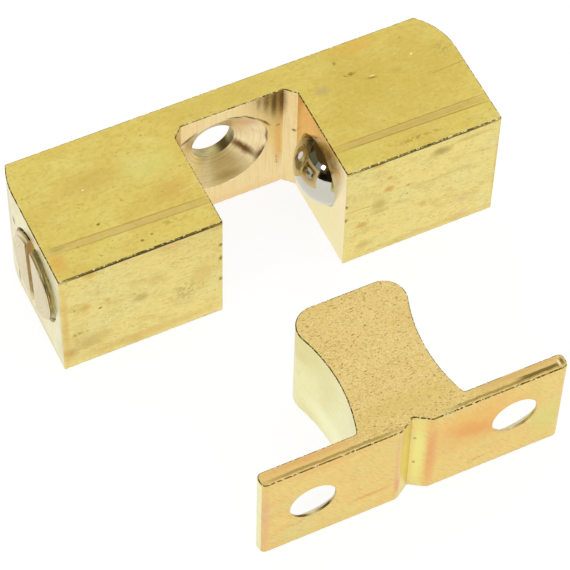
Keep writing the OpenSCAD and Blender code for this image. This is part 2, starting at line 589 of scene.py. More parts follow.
@dataclass(frozen=True)
class Mark:
    """A stain, nick, scratch or line on the metal, at a place on the part in mm.

    Size is its half extent along its own X, Y and Z, which turn is the turn of. Ragged is how
    far noise pulls its border about, and gaps is the size of the breaks in it, 0 for none.
    """

    at: Triple
    size: Triple
    colour: str
    strength: float = 0.7
    shape: Shape = Shape.ROUND
    ragged: float = 0.35
    gaps: float = 0.0
    depth: float = 0.0
    turn: Triple = (0.0, 0.0, 0.0)

    def mask(self, tree: Tree, place: Socket, pull: Socket) -> Socket:
        """The mark, which fades out at its border.

        The place is taken from the mark's middle and divided by its size, axis by axis. A round
        mark fades with the length of that, and a band with its largest part.

        Args:
            tree: The node tree.
            place: Object coordinates.
            pull: Noise round zero, of about half a unit.

        Returns:
            The mask's socket.
        """
        pulled = add(tree, "ShaderNodeVectorMath",
                     {0: pull, 1: metres((self.ragged,) * 3), 2: place},
                     operation="MULTIPLY_ADD").outputs[0]
        own = add(tree, "ShaderNodeMapping",
                  {"Vector": pulled, "Location": metres(self.at), "Rotation": turned_by(self.turn),
                   "Scale": metres(self.size)}, vector_type="TEXTURE").outputs[0]
        core, border = self.shape.value
        if self.shape is Shape.ROUND:
            reach = add(tree, "ShaderNodeVectorMath", {0: own}, operation="LENGTH").outputs["Value"]
        else:
            bare = add(tree, "ShaderNodeVectorMath", {0: own}, operation="ABSOLUTE").outputs[0]
            parts = add(tree, "ShaderNodeSeparateXYZ", {0: bare}).outputs
            wider = add(tree, "ShaderNodeMath", {0: parts[0], 1: parts[1]}, operation="MAXIMUM")
            reach = add(tree, "ShaderNodeMath", {0: wider.outputs[0], 1: parts[2]},
                        operation="MAXIMUM").outputs[0]
        amount = add(tree, "ShaderNodeMapRange",
                     {0: reach, 1: border, 2: core, 3: 0.0, 4: self.strength},
                     interpolation_type="SMOOTHSTEP").outputs[0]
        if not self.gaps:
            return amount
        breaks = add(tree, "ShaderNodeTexNoise",
                     {"Vector": place, "Scale": 1 / (self.gaps * MM), "Detail": 1.0})
        kept = add(tree, "ShaderNodeMapRange",
                   {0: breaks.outputs[0], 1: BREAKS[0], 2: BREAKS[1]}).outputs[0]
        return add(tree, "ShaderNodeMath", {0: amount, 1: kept}, operation="MULTIPLY").outputs[0]


@dataclass(frozen=True)
class Face:
    """A flat face of the part, for marks that are placed by two distances along it.

    Axis is the number of the axis that the face looks along, and level its place on it in mm.
    """

    axis: int
    level: float

    def mark(self, at: tuple[float, float], size: tuple[float, float], colour: str,
             strength: float = 0.7, ragged: float = 0.35, turn: float = 0.0,
             **more: Shape | float) -> Mark:
        """A mark on the face that reaches 1 mm into it.

        Args:
            at: Its place along the face's two directions, in the order X, Y, Z.
            size: Its half extents in the same order.
            colour: Its colour.
            strength: How much of the colour there is in its middle.
            ragged: How far noise pulls its border about, in mm.
            turn: Its turn about the face's own axis, in degrees.
            **more: The mark's shape, gaps or depth.

        Returns:
            The mark.
        """
        spot, extent, turns = list(at), list(size), [0.0, 0.0]
        for values, own in ((spot, self.level), (extent, 1.0), (turns, turn)):
            values.insert(self.axis, own)
        return Mark(tuple(spot), tuple(extent), colour, strength, ragged=ragged,
                    turn=tuple(turns), **more)


# The bar's upper face, open side, left end and slot floor, and the strike's upper and outer face.
UPPER, OPEN, END, FLOOR = Face(2, 8.55), Face(1, -19.05), Face(0, -28.4), Face(1, -3.65)
STRIKE_TOP, STRIKE_FRONT = Face(2, 5.0), Face(1, -53.1)


@dataclass(frozen=True)
class Brass(Finish):
    """Free cutting brass, an alloy of copper and zinc: a metal whose colour is its mirror's tint.

    The way a face was worked leaves its grains, and handling and heat leave the marks. Smear is
    how much rougher the metal is where it was touched, smear_size how large such places are,
    and smear_noise the noise values between which they set in.
    """

    colour: str
    grains: tuple[Layer, ...]
    marks: tuple[Layer, ...] = ()
    roughness: float = 0.34
    smear: float = 0.06
    smear_size: float = 0.8
    smear_noise: tuple[float, float] = (0.35, 0.65)

    def surface(self, tree: Tree) -> Node:
        """Metal with grains over the colour, marks over the grains, and smears in its gloss.

        Args:
            tree: The material's node tree.

        Returns:
            The shader.
        """
        place = add(tree, "ShaderNodeTexCoord").outputs["Object"]
        shade = add(tree, "ShaderNodeRGB").outputs[0]
        shade.default_value = tone(self.colour)
        height = add(tree, "ShaderNodeValue").outputs[0]
        height.default_value = 0.0
        noise = add(tree, "ShaderNodeTexNoise",
                    {"Vector": place, "Scale": 1 / (self.smear_size * MM), "Detail": 3.0})
        pull = add(tree, "ShaderNodeVectorMath", {0: noise.outputs["Color"], 1: (0.5, 0.5, 0.5)},
                   operation="SUBTRACT").outputs[0]
        for layer in (*self.grains, *self.marks):
            mask = layer.mask(tree, place, pull)
            shade = add(tree, "ShaderNodeMix", {0: mask, 6: shade, 7: tone(layer.colour)},
                        data_type="RGBA").outputs[2]
            if layer.depth:
                height = add(tree, "ShaderNodeMath", {0: mask, 1: layer.depth * MM, 2: height},
                             operation="MULTIPLY_ADD").outputs[0]
        gloss = add(tree, "ShaderNodeMapRange",
                    {0: noise.outputs[0], 1: self.smear_noise[0], 2: self.smear_noise[1],
                     3: self.roughness, 4: self.roughness + self.smear}).outputs[0]
        relief = add(tree, "ShaderNodeBump", {"Height": height, "Distance": 1.0, "Strength": 1.0})
        return add(tree, "ShaderNodeBsdfPrincipled",
                   {"Base Color": shade, "Metallic": 1.0, "Roughness": gloss,
                    "Normal": relief.outputs[0]})


@dataclass(frozen=True)
class Steel(Finish):
    """Hardened chromium steel, ground and polished, or hard drawn wire.

    A polished ball gives back sharp, cool pictures of what stands round it. Drawn wire is
    duller. The smears are as in brass.
    """

    colour: str
    roughness: float
    smear: float
    smear_size: float = 1.5
    smear_noise: tuple[float, float] = (0.35, 0.7)

    def surface(self, tree: Tree) -> Node:
        """Plain metal with faint smears of oil in its gloss.

        Args:
            tree: The material's node tree.

        Returns:
            The shader.
        """
        place = add(tree, "ShaderNodeTexCoord").outputs["Object"]
        noise = add(tree, "ShaderNodeTexNoise",
                    {"Vector": place, "Scale": 1 / (self.smear_size * MM), "Detail": 3.0})
        gloss = add(tree, "ShaderNodeMapRange",
                    {0: noise.outputs[0], 1: self.smear_noise[0], 2: self.smear_noise[1],
                     3: self.roughness, 4: self.roughness + self.smear}).outputs[0]
        return add(tree, "ShaderNodeBsdfPrincipled",
                   {"Base Color": tone(self.colour), "Metallic": 1.0, "Roughness": gloss})


# Brass bar, drawn through a die. Its skin is dull, a little green, and mottled where lubricant
# dried, with fine streaks along the bar and two die lines with a pinker band between them. Real
# streaks are too fine for the render to show, so they are drawn 0.4 mm wide.
DRAWN = Brass(
    name="drawn brass bar",
    colour="#dcc86a",
    grains=(
        Grain((9, 6, 5), "#d2b75a", 0.55, 0.42, 0.66, 3.0, turn=(0, 0, 12)),
        Grain((4, 2.2, 2), "#e3d37e", 0.5, 0.48, 0.7, 3.0, turn=(0, 0, -20)),
        Grain((2.0, 0.45, 0.45), "#c6ab52", 0.35, 0.5, 0.75, 3.0),
        Grain((0.6, 0.4, 0.4), "#b39947", 0.34, 0.48, 0.74, 3.0, -0.002),
        Grain((0.5, 0.35, 0.4), "#eddf95", 0.18, 0.54, 0.76, 2.0),
        Grain((0.4, 0.3, 0.4), "#7d6a2e", 0.45, 0.79, 0.84, 0.0, -0.01),
    ),
    marks=(
        UPPER.mark((21, -8), (14, 11), "#c8ae50", 0.5, 4),
        UPPER.mark((-19.1, -6.9), (5, 2), "#cbaa54", 0.5, 2.5),
        UPPER.mark((-10.3, -12), (2.6, 1.5), "#d2a95a", 0.5, 1.5),
        UPPER.mark((-12, -7.4), (4, 2.5), "#d8d27c", 0.5, 2),
        UPPER.mark((-27.4, -16.4), (1.3, 1.6), "#dba653", 0.6, 1.2),
        UPPER.mark((13, -6), (1.1, 0.7), "#b9a371", 0.6, 0.7),
        UPPER.mark((29.8, -6), (1.4, 1.1), "#b5a05c", 0.65, 0.9, gaps=0.5),
        UPPER.mark((23.1, -6.8), (0.8, 0.5), "#c4aa50", 0.6),
        UPPER.mark((20.1, -1.1), (3.5, 1.2), "#dfb257", 0.55, 1.5),
        UPPER.mark((2, -1.8), (9, 2), "#cdb55c", 0.5, 1.5),
        UPPER.mark((29.6, -9), (3, 0.09), "#a8923f", 0.5, 0.1, turn=4, shape=Shape.BAND),
        UPPER.mark((-17, -14.95), (11.6, 0.42), "#c8ab6a", 0.55, 0.2, turn=-1.8, shape=Shape.BAND),
        UPPER.mark((-17, -14.42), (11.3, 0.12), "#a88b42", 0.6, 0.12, turn=-1.8, shape=Shape.BAND),
        UPPER.mark((-16.4, -15.45), (10.8, 0.12), "#a88b42", 0.5, 0.12, turn=-1.8,
                   shape=Shape.BAND),
        UPPER.mark((-26.6, -14.4), (1.2, 0.35), "#a2984e", 0.5, 0.7),
        UPPER.mark((21, -15.2), (10.9, 0.42), "#bfa061", 0.55, 0.25, turn=-0.9, shape=Shape.BAND),
        UPPER.mark((21, -14.68), (11, 0.1), "#a38b40", 0.65, 0.15, turn=-0.6, shape=Shape.BAND),
        UPPER.mark((21, -15.75), (11, 0.12), "#a38b40", 0.7, 0.15, turn=-1.4, shape=Shape.BAND),
        # A tiny painted glint.
        UPPER.mark((-20.3, -7.6), (0.16, 0.1), "#fff6cc", 0.9, 0.1),
        UPPER.mark((-21.2, -9.5), (0.3, 0.25), "#cdaa52", 0.5, 0.2),
        UPPER.mark((-20.6, -13.1), (0.28, 0.2), "#6b5820", 0.85, 0.1, depth=-0.02),
        UPPER.mark((-16.7, -17.5), (0.24, 0.2), "#6d5a22", 0.85, 0.1, depth=-0.02),
        UPPER.mark((-15.3, -17.1), (0.2, 0.16), "#7a672b", 0.8, 0.1, depth=-0.02),
        UPPER.mark((-8.4, -12.6), (1.3, 0.16), "#efdc96", 0.35, 0.4, turn=8),
        UPPER.mark((-12, -16.4), (2.4, 0.3), "#a39137", 0.5, 0.5, gaps=0.6),
        UPPER.mark((17.2, -5), (0.9, 0.3), "#7b6b2c", 0.75, 0.6, gaps=0.35, depth=-0.02),
        UPPER.mark((19.7, -6.6), (0.7, 0.2), "#8b7a35", 0.75, 0.4, turn=-14, depth=-0.02),
        # A painted highlight along the scratch's lip.
        UPPER.mark((19.8, -6.35), (0.4, 0.08), "#fbf3bd", 0.8, 0.2, turn=-14),
        UPPER.mark((16.3, -2.6), (0.3, 0.3), "#8f7c38", 0.7, 0.2),
        # A tiny painted glint.
        UPPER.mark((25.9, -5.2), (0.22, 0.13), "#fff6c4", 0.9, 0.15),
        UPPER.mark((21, -17.4), (3.4, 0.3), "#98852f", 0.6, 0.4, gaps=0.4, depth=-0.01),
        UPPER.mark((12, -17), (3, 1.2), "#cdbd5c", 0.5, 1.2),
    ),
)
# The edges are broken by hand with a file. Painted highlights glint on them in dots, between dark
# lengths of painted shade.
FILED_EDGE = Brass(
    name="filed brass edge",
    colour="#97843f",
    grains=(
        Grain((1.3, 0.9, 1.1), "#4d3d16", 0.75, 0.47, 0.57, 2.0),
        Grain((0.32, 0.28, 0.32), "#fff0bc", 0.85, 0.54, 0.62, 1.0),
    ),
    marks=(
        # A paler, broken line of painted highlight along the slot floor's upper edge.
        Mark((1.5, -3.6, 8.5), (8.2, 0.35, 0.6), "#e6d283", 0.65, ragged=0.2, gaps=0.5),
    ),
    roughness=0.4,
)
# The open side is the bar's rolled skin, with tarnish spots. It is painted brighter than the upper
# face, as painted light from the front that it faces. Its fine specks are drawn 0.3 to 0.5 mm wide,
# coarser than real ones, to show.
OPEN_SIDE = Brass(
    name="rolled brass face",
    colour="#f0dd88",
    grains=(
        Grain((7, 5, 4), "#eadf94", 0.6, 0.42, 0.68, 3.0),
        Grain((3, 2, 1.4), "#d8bf6c", 0.55, 0.5, 0.7, 3.0, turn=(0, 14, 0)),
        Grain((1.6, 0.5, 0.35), "#cfb463", 0.4, 0.52, 0.75, 3.0, turn=(0, 8, 0)),
        Grain((0.5, 0.35, 0.3), "#c3a857", 0.4, 0.52, 0.76, 2.0, -0.003),
        Grain((0.42, 0.35, 0.26), "#f8f0b8", 0.4, 0.56, 0.76, 1.0),
        Grain((0.4, 0.4, 0.3), "#8c7838", 0.45, 0.79, 0.84, 0.0, -0.01),
    ),
    marks=(
        OPEN.mark((-24.4, 7.7), (0.95, 0.65), "#e0b352", 0.75, 0.4),
        OPEN.mark((-25.2, 1.4), (0.8, 0.5), "#e0b252", 0.85, 0.25),
        OPEN.mark((-12.7, 3.8), (0.9, 0.5), "#cf9f4e", 0.55, 0.5, gaps=0.5),
        OPEN.mark((-17.9, -0.9), (1.2, 0.9), "#b9a050", 0.6, 0.9),
        OPEN.mark((-22.2, 1.2), (0.4, 0.3), "#c0a052", 0.6, 0.3),
        OPEN.mark((-11.7, -3), (1.8, 2.2), "#a58d42", 0.45, 0.8, gaps=0.45),
        OPEN.mark((-9.5, -1), (1.6, 2.6), "#dfc06c", 0.5, 1),
        OPEN.mark((-23.2, 0.1), (0.25, 0.2), "#5f4f22", 0.85, 0.1, depth=-0.02),
        OPEN.mark((-22.2, 4.9), (0.16, 0.9), "#9a8643", 0.5, 0.2, gaps=0.4),
        OPEN.mark((-27.5, -7.4), (1.2, 1.2), "#c39545", 0.6, 0.8),
        OPEN.mark((-24.6, -6.2), (2.6, 1.6), "#cfac5a", 0.5, 1.2),
        OPEN.mark((-26.5, -3.8), (2.4, 0.3), "#a98d47", 0.6, 0.6, gaps=0.5),
        OPEN.mark((-17, -9), (11, 0.9), "#dfb659", 0.5, 1),
        OPEN.mark((-27.9, -1), (0.5, 9), "#e3b662", 0.55, 0.7),
        OPEN.mark((-15, 7.4), (6, 0.5), "#ebc47a", 0.4, 0.7),
        OPEN.mark((-7, 3.9), (0.3, 0.35), "#7a6228", 0.8, 0.2, depth=-0.04),
        OPEN.mark((-7, 1.1), (0.25, 0.5), "#7a6228", 0.8, 0.25, depth=-0.04),
        OPEN.mark((-7, -3.4), (0.3, 0.4), "#8a7235", 0.8, 0.25, depth=-0.04),
        OPEN.mark((23.3, 6.2), (1.6, 0.8), "#af994a", 0.75, 0.8),
        OPEN.mark((27.2, 6.9), (2.6, 0.4), "#c5b05a", 0.55, 0.6),
        OPEN.mark((14.4, 8), (1, 0.45), "#d2ab58", 0.7, 0.4),
        OPEN.mark((16.2, 4.6), (0.45, 0.4), "#d2a74f", 0.75, 0.2),
        OPEN.mark((16.2, 2.3), (0.75, 0.6), "#d8a74b", 0.85, 0.25),
        OPEN.mark((18.9, 1.6), (0.35, 0.2), "#a88f3f", 0.75, 0.15, turn=-20),
        OPEN.mark((12.6, -3.4), (1, 0.6), "#d4a84e", 0.8, 0.3),
        OPEN.mark((21.2, -3.7), (0.55, 0.5), "#d6b157", 0.7, 0.25),
        OPEN.mark((13, -7.9), (1.2, 0.9), "#cdad57", 0.6, 0.5),
        OPEN.mark((14.9, -0.3), (1.2, 1.2), "#c2ac58", 0.7, 0.8),
        OPEN.mark((15.2, -1.8), (1.5, 0.5), "#ccb865", 0.6, 0.6),
        OPEN.mark((12, 0.2), (2, 0.12), "#bda457", 0.55, 0.3, turn=4, shape=Shape.BAND),
        OPEN.mark((24, 0.8), (4.5, 0.35), "#cfbf6c", 0.5, 0.6),
        OPEN.mark((27.1, -6.1), (0.9, 0.6), "#e0b98c", 0.55, 0.4),
        OPEN.mark((27.2, -8.9), (0.9, 0.4), "#e8bfa0", 0.6, 0.3),
        OPEN.mark((21, -9.6), (10, 0.6), "#dfc069", 0.5, 0.8),
        OPEN.mark((18.8, -0.1), (0.2, 0.15), "#8d7632", 0.8, 0.1),
        OPEN.mark((10.2, 1.6), (0.35, 0.3), "#6d5522", 0.8, 0.3, depth=-0.04),
        OPEN.mark((10.2, -1.2), (0.35, 0.35), "#7a6228", 0.85, 0.3, depth=-0.04),
        OPEN.mark((31.6, -1), (0.35, 9), "#c9a85f", 0.5, 0.4),
        # Two dark bands just under the upper edge: a line of painted shade below the edge's painted
        # glints.
        Mark((-17, -19.1, 8.26), (11.6, 0.4, 0.2), "#35270a", 0.95, Shape.BAND, 0.16),
        Mark((21, -19.1, 8.29), (10.8, 0.4, 0.16), "#3f300e", 0.9, Shape.BAND, 0.2),
    ),
)
# The ends are sawn and ground, with upright lines and ragged edges. They are painted pale, partly
# as painted light, for the strong light on the left end. The lines are drawn 0.12 mm wide, wider
# than real grinding marks, to show.
SAWN_END = Brass(
    name="sawn brass end",
    colour="#f6f0c3",
    grains=(
        Grain((4, 3, 5), "#e2d3a0", 0.5, 0.45, 0.7, 3.0),
        Grain((0.4, 0.12, 1.6), "#cdbf90", 0.4, 0.5, 0.72, 2.0, -0.003),
        Grain((0.4, 0.6, 0.3), "#f6f2d8", 0.4, 0.58, 0.75, 2.0),
    ),
    marks=(
        END.mark((-4.75, -4.6), (0.24, 5.6), "#6b5a2c", 0.8, 0.4, shape=Shape.BAND, gaps=0.7),
        Mark((-28.2, -4.4, 3), (1, 0.5, 0.8), "#8a7640", 0.85, ragged=0.4),
        END.mark((-5, -7), (0.4, 1.7), "#7d6c3a", 0.8, 0.4, gaps=0.3),
        Mark((-27.8, -1.5, 2), (1.5, 2.4, 6), "#cfc69a", 0.6, ragged=1),
        END.mark((-16.1, -2.6), (0.9, 0.5), "#8d743f", 0.6, 0.4),
        END.mark((-18.9, 0), (0.3, 9.5), "#dcc792", 0.55, 0.3),
        END.mark((-10, -9.9), (9, 0.5), "#d9c793", 0.5, 0.4),
    ),
    roughness=0.32,
)
# Painted shade along the countersink's rim, dark at the foot of the burr that the countersink left
# there.
RIM_BURR_SHADE = (
    FLOOR.mark((2.3, 6.25), (1.5, 0.16), "#5d4420", 0.9, 0.35, turn=20, depth=-0.03),
    FLOOR.mark((4.3, 5.1), (1.5, 0.16), "#5d4420", 0.9, 0.4, turn=40, depth=-0.03),
    FLOOR.mark((6.2, 3.2), (1.5, 0.2), "#6a4a24", 0.85, 0.4, turn=52, depth=-0.03),
    FLOOR.mark((6.5, 0.4), (0.2, 1.6), "#6a4a24", 0.8, 0.35, depth=-0.02),
    FLOOR.mark((-6.1, 2.5), (0.25, 1.6), "#8a6236", 0.6, 0.35, turn=22),
)
# Slot milled along its height: bright fresh metal with upright feed lines, browner at the top
# right, where it gives back the arm. Its feed lines are drawn coarser than real ones, to show.
MILLED_SLOT = Brass(
    name="milled brass slot",
    colour="#f5dea2",
    grains=(
        Grain((5, 5, 4), "#f6d498", 0.45, 0.45, 0.7, 3.0),
        Grain((0.22, 0.22, 7.0), "#e2bd84", 0.42, 0.5, 0.74, 2.0, -0.001),
        Grain((0.5, 0.5, 5.0), "#fff0cc", 0.4, 0.55, 0.75, 2.0),
    ),
    marks=(
        FLOOR.mark((5.3, 7.4), (0.35, 1.2), "#a37c46", 0.5, 0.3),
        FLOOR.mark((6.35, 6.9), (0.4, 1.9), "#94703c", 0.6, 0.3),
        FLOOR.mark((7.5, 6.3), (0.45, 2.7), "#6f4f22", 0.75, 0.3),
        FLOOR.mark((8.65, 6.4), (0.6, 3), "#7a5526", 0.75, 0.3),
        FLOOR.mark((-2.5, -9), (5, 2), "#f2d790", 0.5, 1),
        FLOOR.mark((-5.5, -1), (2.5, 9), "#eac97f", 0.5, 1),
        FLOOR.mark((8.1, -1.9), (0.6, 5.5), "#f0b97c", 0.55, 0.4),
        FLOOR.mark((8, -5.7), (0.16, 1.3), "#a8743c", 0.8, 0.2, gaps=0.4, depth=-0.02),
        FLOOR.mark((8.1, 1.6), (0.3, 0.2), "#b07b42", 0.75, 0.2),
        FLOOR.mark((-4.4, 5.2), (1.5, 0.28), "#7a4f22", 0.9, 0.5, turn=-34, depth=-0.05),
        # A painted highlight beside the scratch.
        FLOOR.mark((-5.8, 4.6), (0.4, 0.3), "#fff4d6", 0.8, 0.3),
        *RIM_BURR_SHADE,
        Mark((9.9, -4.6, 0.8), (0.3, 0.5, 0.3), "#6b5530", 0.85, ragged=0.2, depth=-0.03),
        # Painted highlights: a glint at the right top corner and a bright broken line along the
        # upper edge.
        Mark((9.6, -4.9, 8.4), (1.2, 1.2, 0.3), "#fff6cf", 0.8, ragged=0.4, gaps=0.5),
        FLOOR.mark((2, 8.4), (7.5, 0.2), "#fff3c4", 0.8, 0.2, gaps=0.45),
        FLOOR.mark((1.5, -9.8), (9, 0.8), "#efc78e", 0.5, 0.5),
        # A short painted highlight along the countersink's lower rim.
        FLOOR.mark((1.4, -6.45), (1.1, 0.2), "#fff8e0", 0.85, 0.3, gaps=0.3),
    ),
    roughness=0.27,
)
# The slot's side walls are milled smoother, and mirror the ball and the floor.
MILLED_WALL = Brass(
    name="milled brass wall",
    colour="#fbe6b2",
    grains=(
        Grain((5, 5, 4), "#f8d9a0", 0.4, 0.45, 0.7, 3.0),
        Grain((0.3, 0.3, 6.0), "#ecc890", 0.35, 0.5, 0.74, 2.0),
    ),
    marks=(
        Mark((10.15, -7, 8), (1, 9, 5), "#ffd79a", 0.6, ragged=0.8),
        Mark((10.15, -13, -6), (1, 9, 7), "#f0e49e", 0.85, ragged=1),
        Mark((-7, -10, 2), (1, 9, 9), "#a98546", 0.7, ragged=1.5),
    ),
    roughness=0.17,
    smear=0.05,
)
# Brass cut by a countersink. It is smooth and bright with fine rings round the screw's axis, and
# has dark bands where it gives back the slot. The rings are drawn wider than the tool leaves them.
COUNTERSUNK = Brass(
    name="countersunk brass",
    colour="#fdebb8",
    grains=(
        Grain((2.5, 2.5, 2.5), "#e6c190", 0.5, 0.45, 0.7, 3.0),
        Rings((0, 0, 0), (1, 0, 1), 0.24, "#cba673", 0.22, -0.001),
        Grain((1.2, 1.2, 0.5), "#fff4d2", 0.4, 0.55, 0.72, 2.0),
    ),
    marks=(
        *RIM_BURR_SHADE,
        Mark((3.7, -2.4, -2.1), (2.8, 2, 0.7), "#6b4517", 0.95, ragged=0.6, turn=(0, 42, 0)),
        Mark((6, -3.3, -2.8), (0.6, 1.5, 2.3), "#5c3913", 0.95, ragged=0.5, turn=(0, 30, 0)),
        Mark((4.3, -3, 3.7), (2, 2, 1.6), "#eec49a", 0.6, ragged=0.8),
        Mark((-3.4, -3, 4.2), (1.2, 2, 0.6), "#8c5f3a", 0.6, ragged=0.5),
        Mark((-1.3, -2.6, -2.4), (1.1, 2, 0.9), "#a9a079", 0.6, ragged=0.6),
        Mark((1, -3, -5.6), (2, 2, 0.6), "#c09a66", 0.5, ragged=0.5),
        Mark((-5, -3.2, -1.5), (1, 1.5, 1.6), "#efb488", 0.6, ragged=0.6),
    ),
    roughness=0.33,
)
# Bored and tapped brass, painted duller and darker than outside, as painted shade inside the bores.
BORED = Brass(
    name="bored brass",
    colour="#baa972",
    grains=(
        Grain((2, 2, 2), "#8f8455", 0.6, 0.45, 0.7, 3.0),
        Grain((3, 0.3, 3), "#f0e6bd", 0.5, 0.52, 0.7, 2.0),
    ),
    marks=(
        # A near-black painted shadow on the far wall of the screw hole.
        Mark((2.2, -1.5, -0.9), (1.1, 1.2, 1.0), "#1e1905", 0.95, ragged=0.3),
    ),
    roughness=0.34,
)
# Brass rod, turned. The faces of the plugs are pale, with the turning tool's rings, which are
# drawn 0.3 mm apart to show.
CUT_PLUG = Brass(
    name="turned brass plug",
    colour="#e6dbb2",
    grains=(
        Grain((2, 2, 2), "#dcc894", 0.5, 0.45, 0.72, 3.0),
        Rings((0, BALL_AXIS_Y, 0), (0, 1, 1), 0.3, "#cdb583", 0.45, -0.004),
        Grain((0.4, 0.3, 0.3), "#f6f0d2", 0.4, 0.56, 0.75, 2.0),
    ),
    roughness=0.32,
)
# A slot cut by a slitting saw, with fine lines along it. It is bright, fresh metal.
SAWN_SLOT = Brass(
    name="sawn driver slot",
    colour="#fdedc8",
    grains=(
        Grain((0.3, 0.3, 2), "#f5dcb4", 0.5, 0.45, 0.7, 2.0, -0.001),
        Grain((1, 1, 2), "#fff8dc", 0.5, 0.5, 0.7, 2.0),
    ),
)
# Screw cut brass, mottled, and painted darker as painted shade between the crests.
THREAD = Brass(
    name="screw cut thread",
    colour="#b3a567",
    grains=(
        Grain((1.5, 1.5, 1.5), "#7d6c34", 0.6, 0.45, 0.7, 3.0),
        Grain((0.4, 0.4, 0.4), "#e8d79c", 0.5, 0.55, 0.72, 2.0),
    ),
)
# The flange's upper side is smooth and tan, with a dark line of painted shade behind its front
# edge.
FLANGE_EDGE = (
    STRIKE_TOP.mark((-11.4, -52), (6.4, 1.3), "#e2bd76", 0.8, 0.3, shape=Shape.BAND),
    STRIKE_TOP.mark((17.1, -52), (6.4, 1.3), "#dcbb74", 0.75, 0.3, shape=Shape.BAND),
    STRIKE_TOP.mark((-10, -51.6), (7, 0.4), "#d9a262", 0.5, 0.4),
    STRIKE_TOP.mark((17, -51.5), (6, 0.35), "#d2a866", 0.5, 0.4),
    STRIKE_TOP.mark((-8, -52.6), (9, 0.2), "#8d7a38", 0.65, 0.35, shape=Shape.BAND),
    STRIKE_TOP.mark((15, -52.6), (8, 0.2), "#8d7a38", 0.7, 0.35, shape=Shape.BAND),
    STRIKE_TOP.mark((19.5, -52.35), (3, 0.25), "#5c4a1c", 0.8, 0.25, shape=Shape.BAND),
    # A painted shadow and a painted highlight on a small burr at the flange's right end.
    STRIKE_TOP.mark((22.5, -52.1), (0.3, 0.5), "#5c3f16", 0.8, 0.2),
    STRIKE_TOP.mark((22.1, -52.3), (0.2, 0.5), "#fff4ca", 0.7, 0.2),
)
# The strike is drawn to its profile, sawn to length and tumbled, so its sawn faces are grainy.
# The grains are drawn 0.2 to 0.4 mm wide, coarser than real ones, to show.
SAWN_STRIKE = Brass(
    name="sawn brass strike",
    colour="#e3c981",
    grains=(
        Grain((7, 5, 5), "#dcbc6e", 0.5, 0.42, 0.68, 3.0),
        Grain((0.26, 0.18, 0.3), "#a08343", 0.42, 0.5, 0.68, 1.5, -0.004, turn=(0, 0, -20)),
        Grain((0.26, 0.2, 0.3), "#fbecba", 0.36, 0.56, 0.72, 1.0, turn=(0, 0, 30)),
        Grain((0.4, 0.22, 0.3), "#6a5622", 0.55, 0.66, 0.73, 0.5, -0.008),
    ),
    marks=(
        *FLANGE_EDGE,
        STRIKE_TOP.mark((2.85, -49.6), (8, 1.4), "#d8bd6a", 0.5, 0.8),
    ),
    roughness=0.34,
)
# The strike's drawn sides are smooth and pale, a little green, and mirror the white floor.
DRAWN_STRIKE = Brass(
    name="drawn brass strike",
    colour="#f2edb2",
    grains=(
        Grain((5, 5, 5), "#e0d68f", 0.5, 0.45, 0.72, 3.0),
        Grain((0.9, 0.9, 0.35), "#d8cd84", 0.35, 0.55, 0.75, 2.0),
        Grain((0.5, 0.5, 0.4), "#faf7cf", 0.35, 0.56, 0.75, 2.0),
    ),
    marks=(
        Mark((-4.2, -37, 3), (2.5, 8, 4), "#ddd184", 0.6, ragged=1.5),
        Mark((-4.2, -35, 1), (1, 2.5, 1.2), "#dfcf86", 0.6, ragged=1),
        Mark((-3.6, -36, -3), (1, 0.5, 1), "#e9c78e", 0.5, ragged=0.5),
        # Paler towards the bottom of the head's side: a painted reflection of the white floor.
        Mark((-3, -44, -7.5), (3, 8, 2.6), "#fdfbcc", 0.8, ragged=1),
    ),
    roughness=0.28,
)
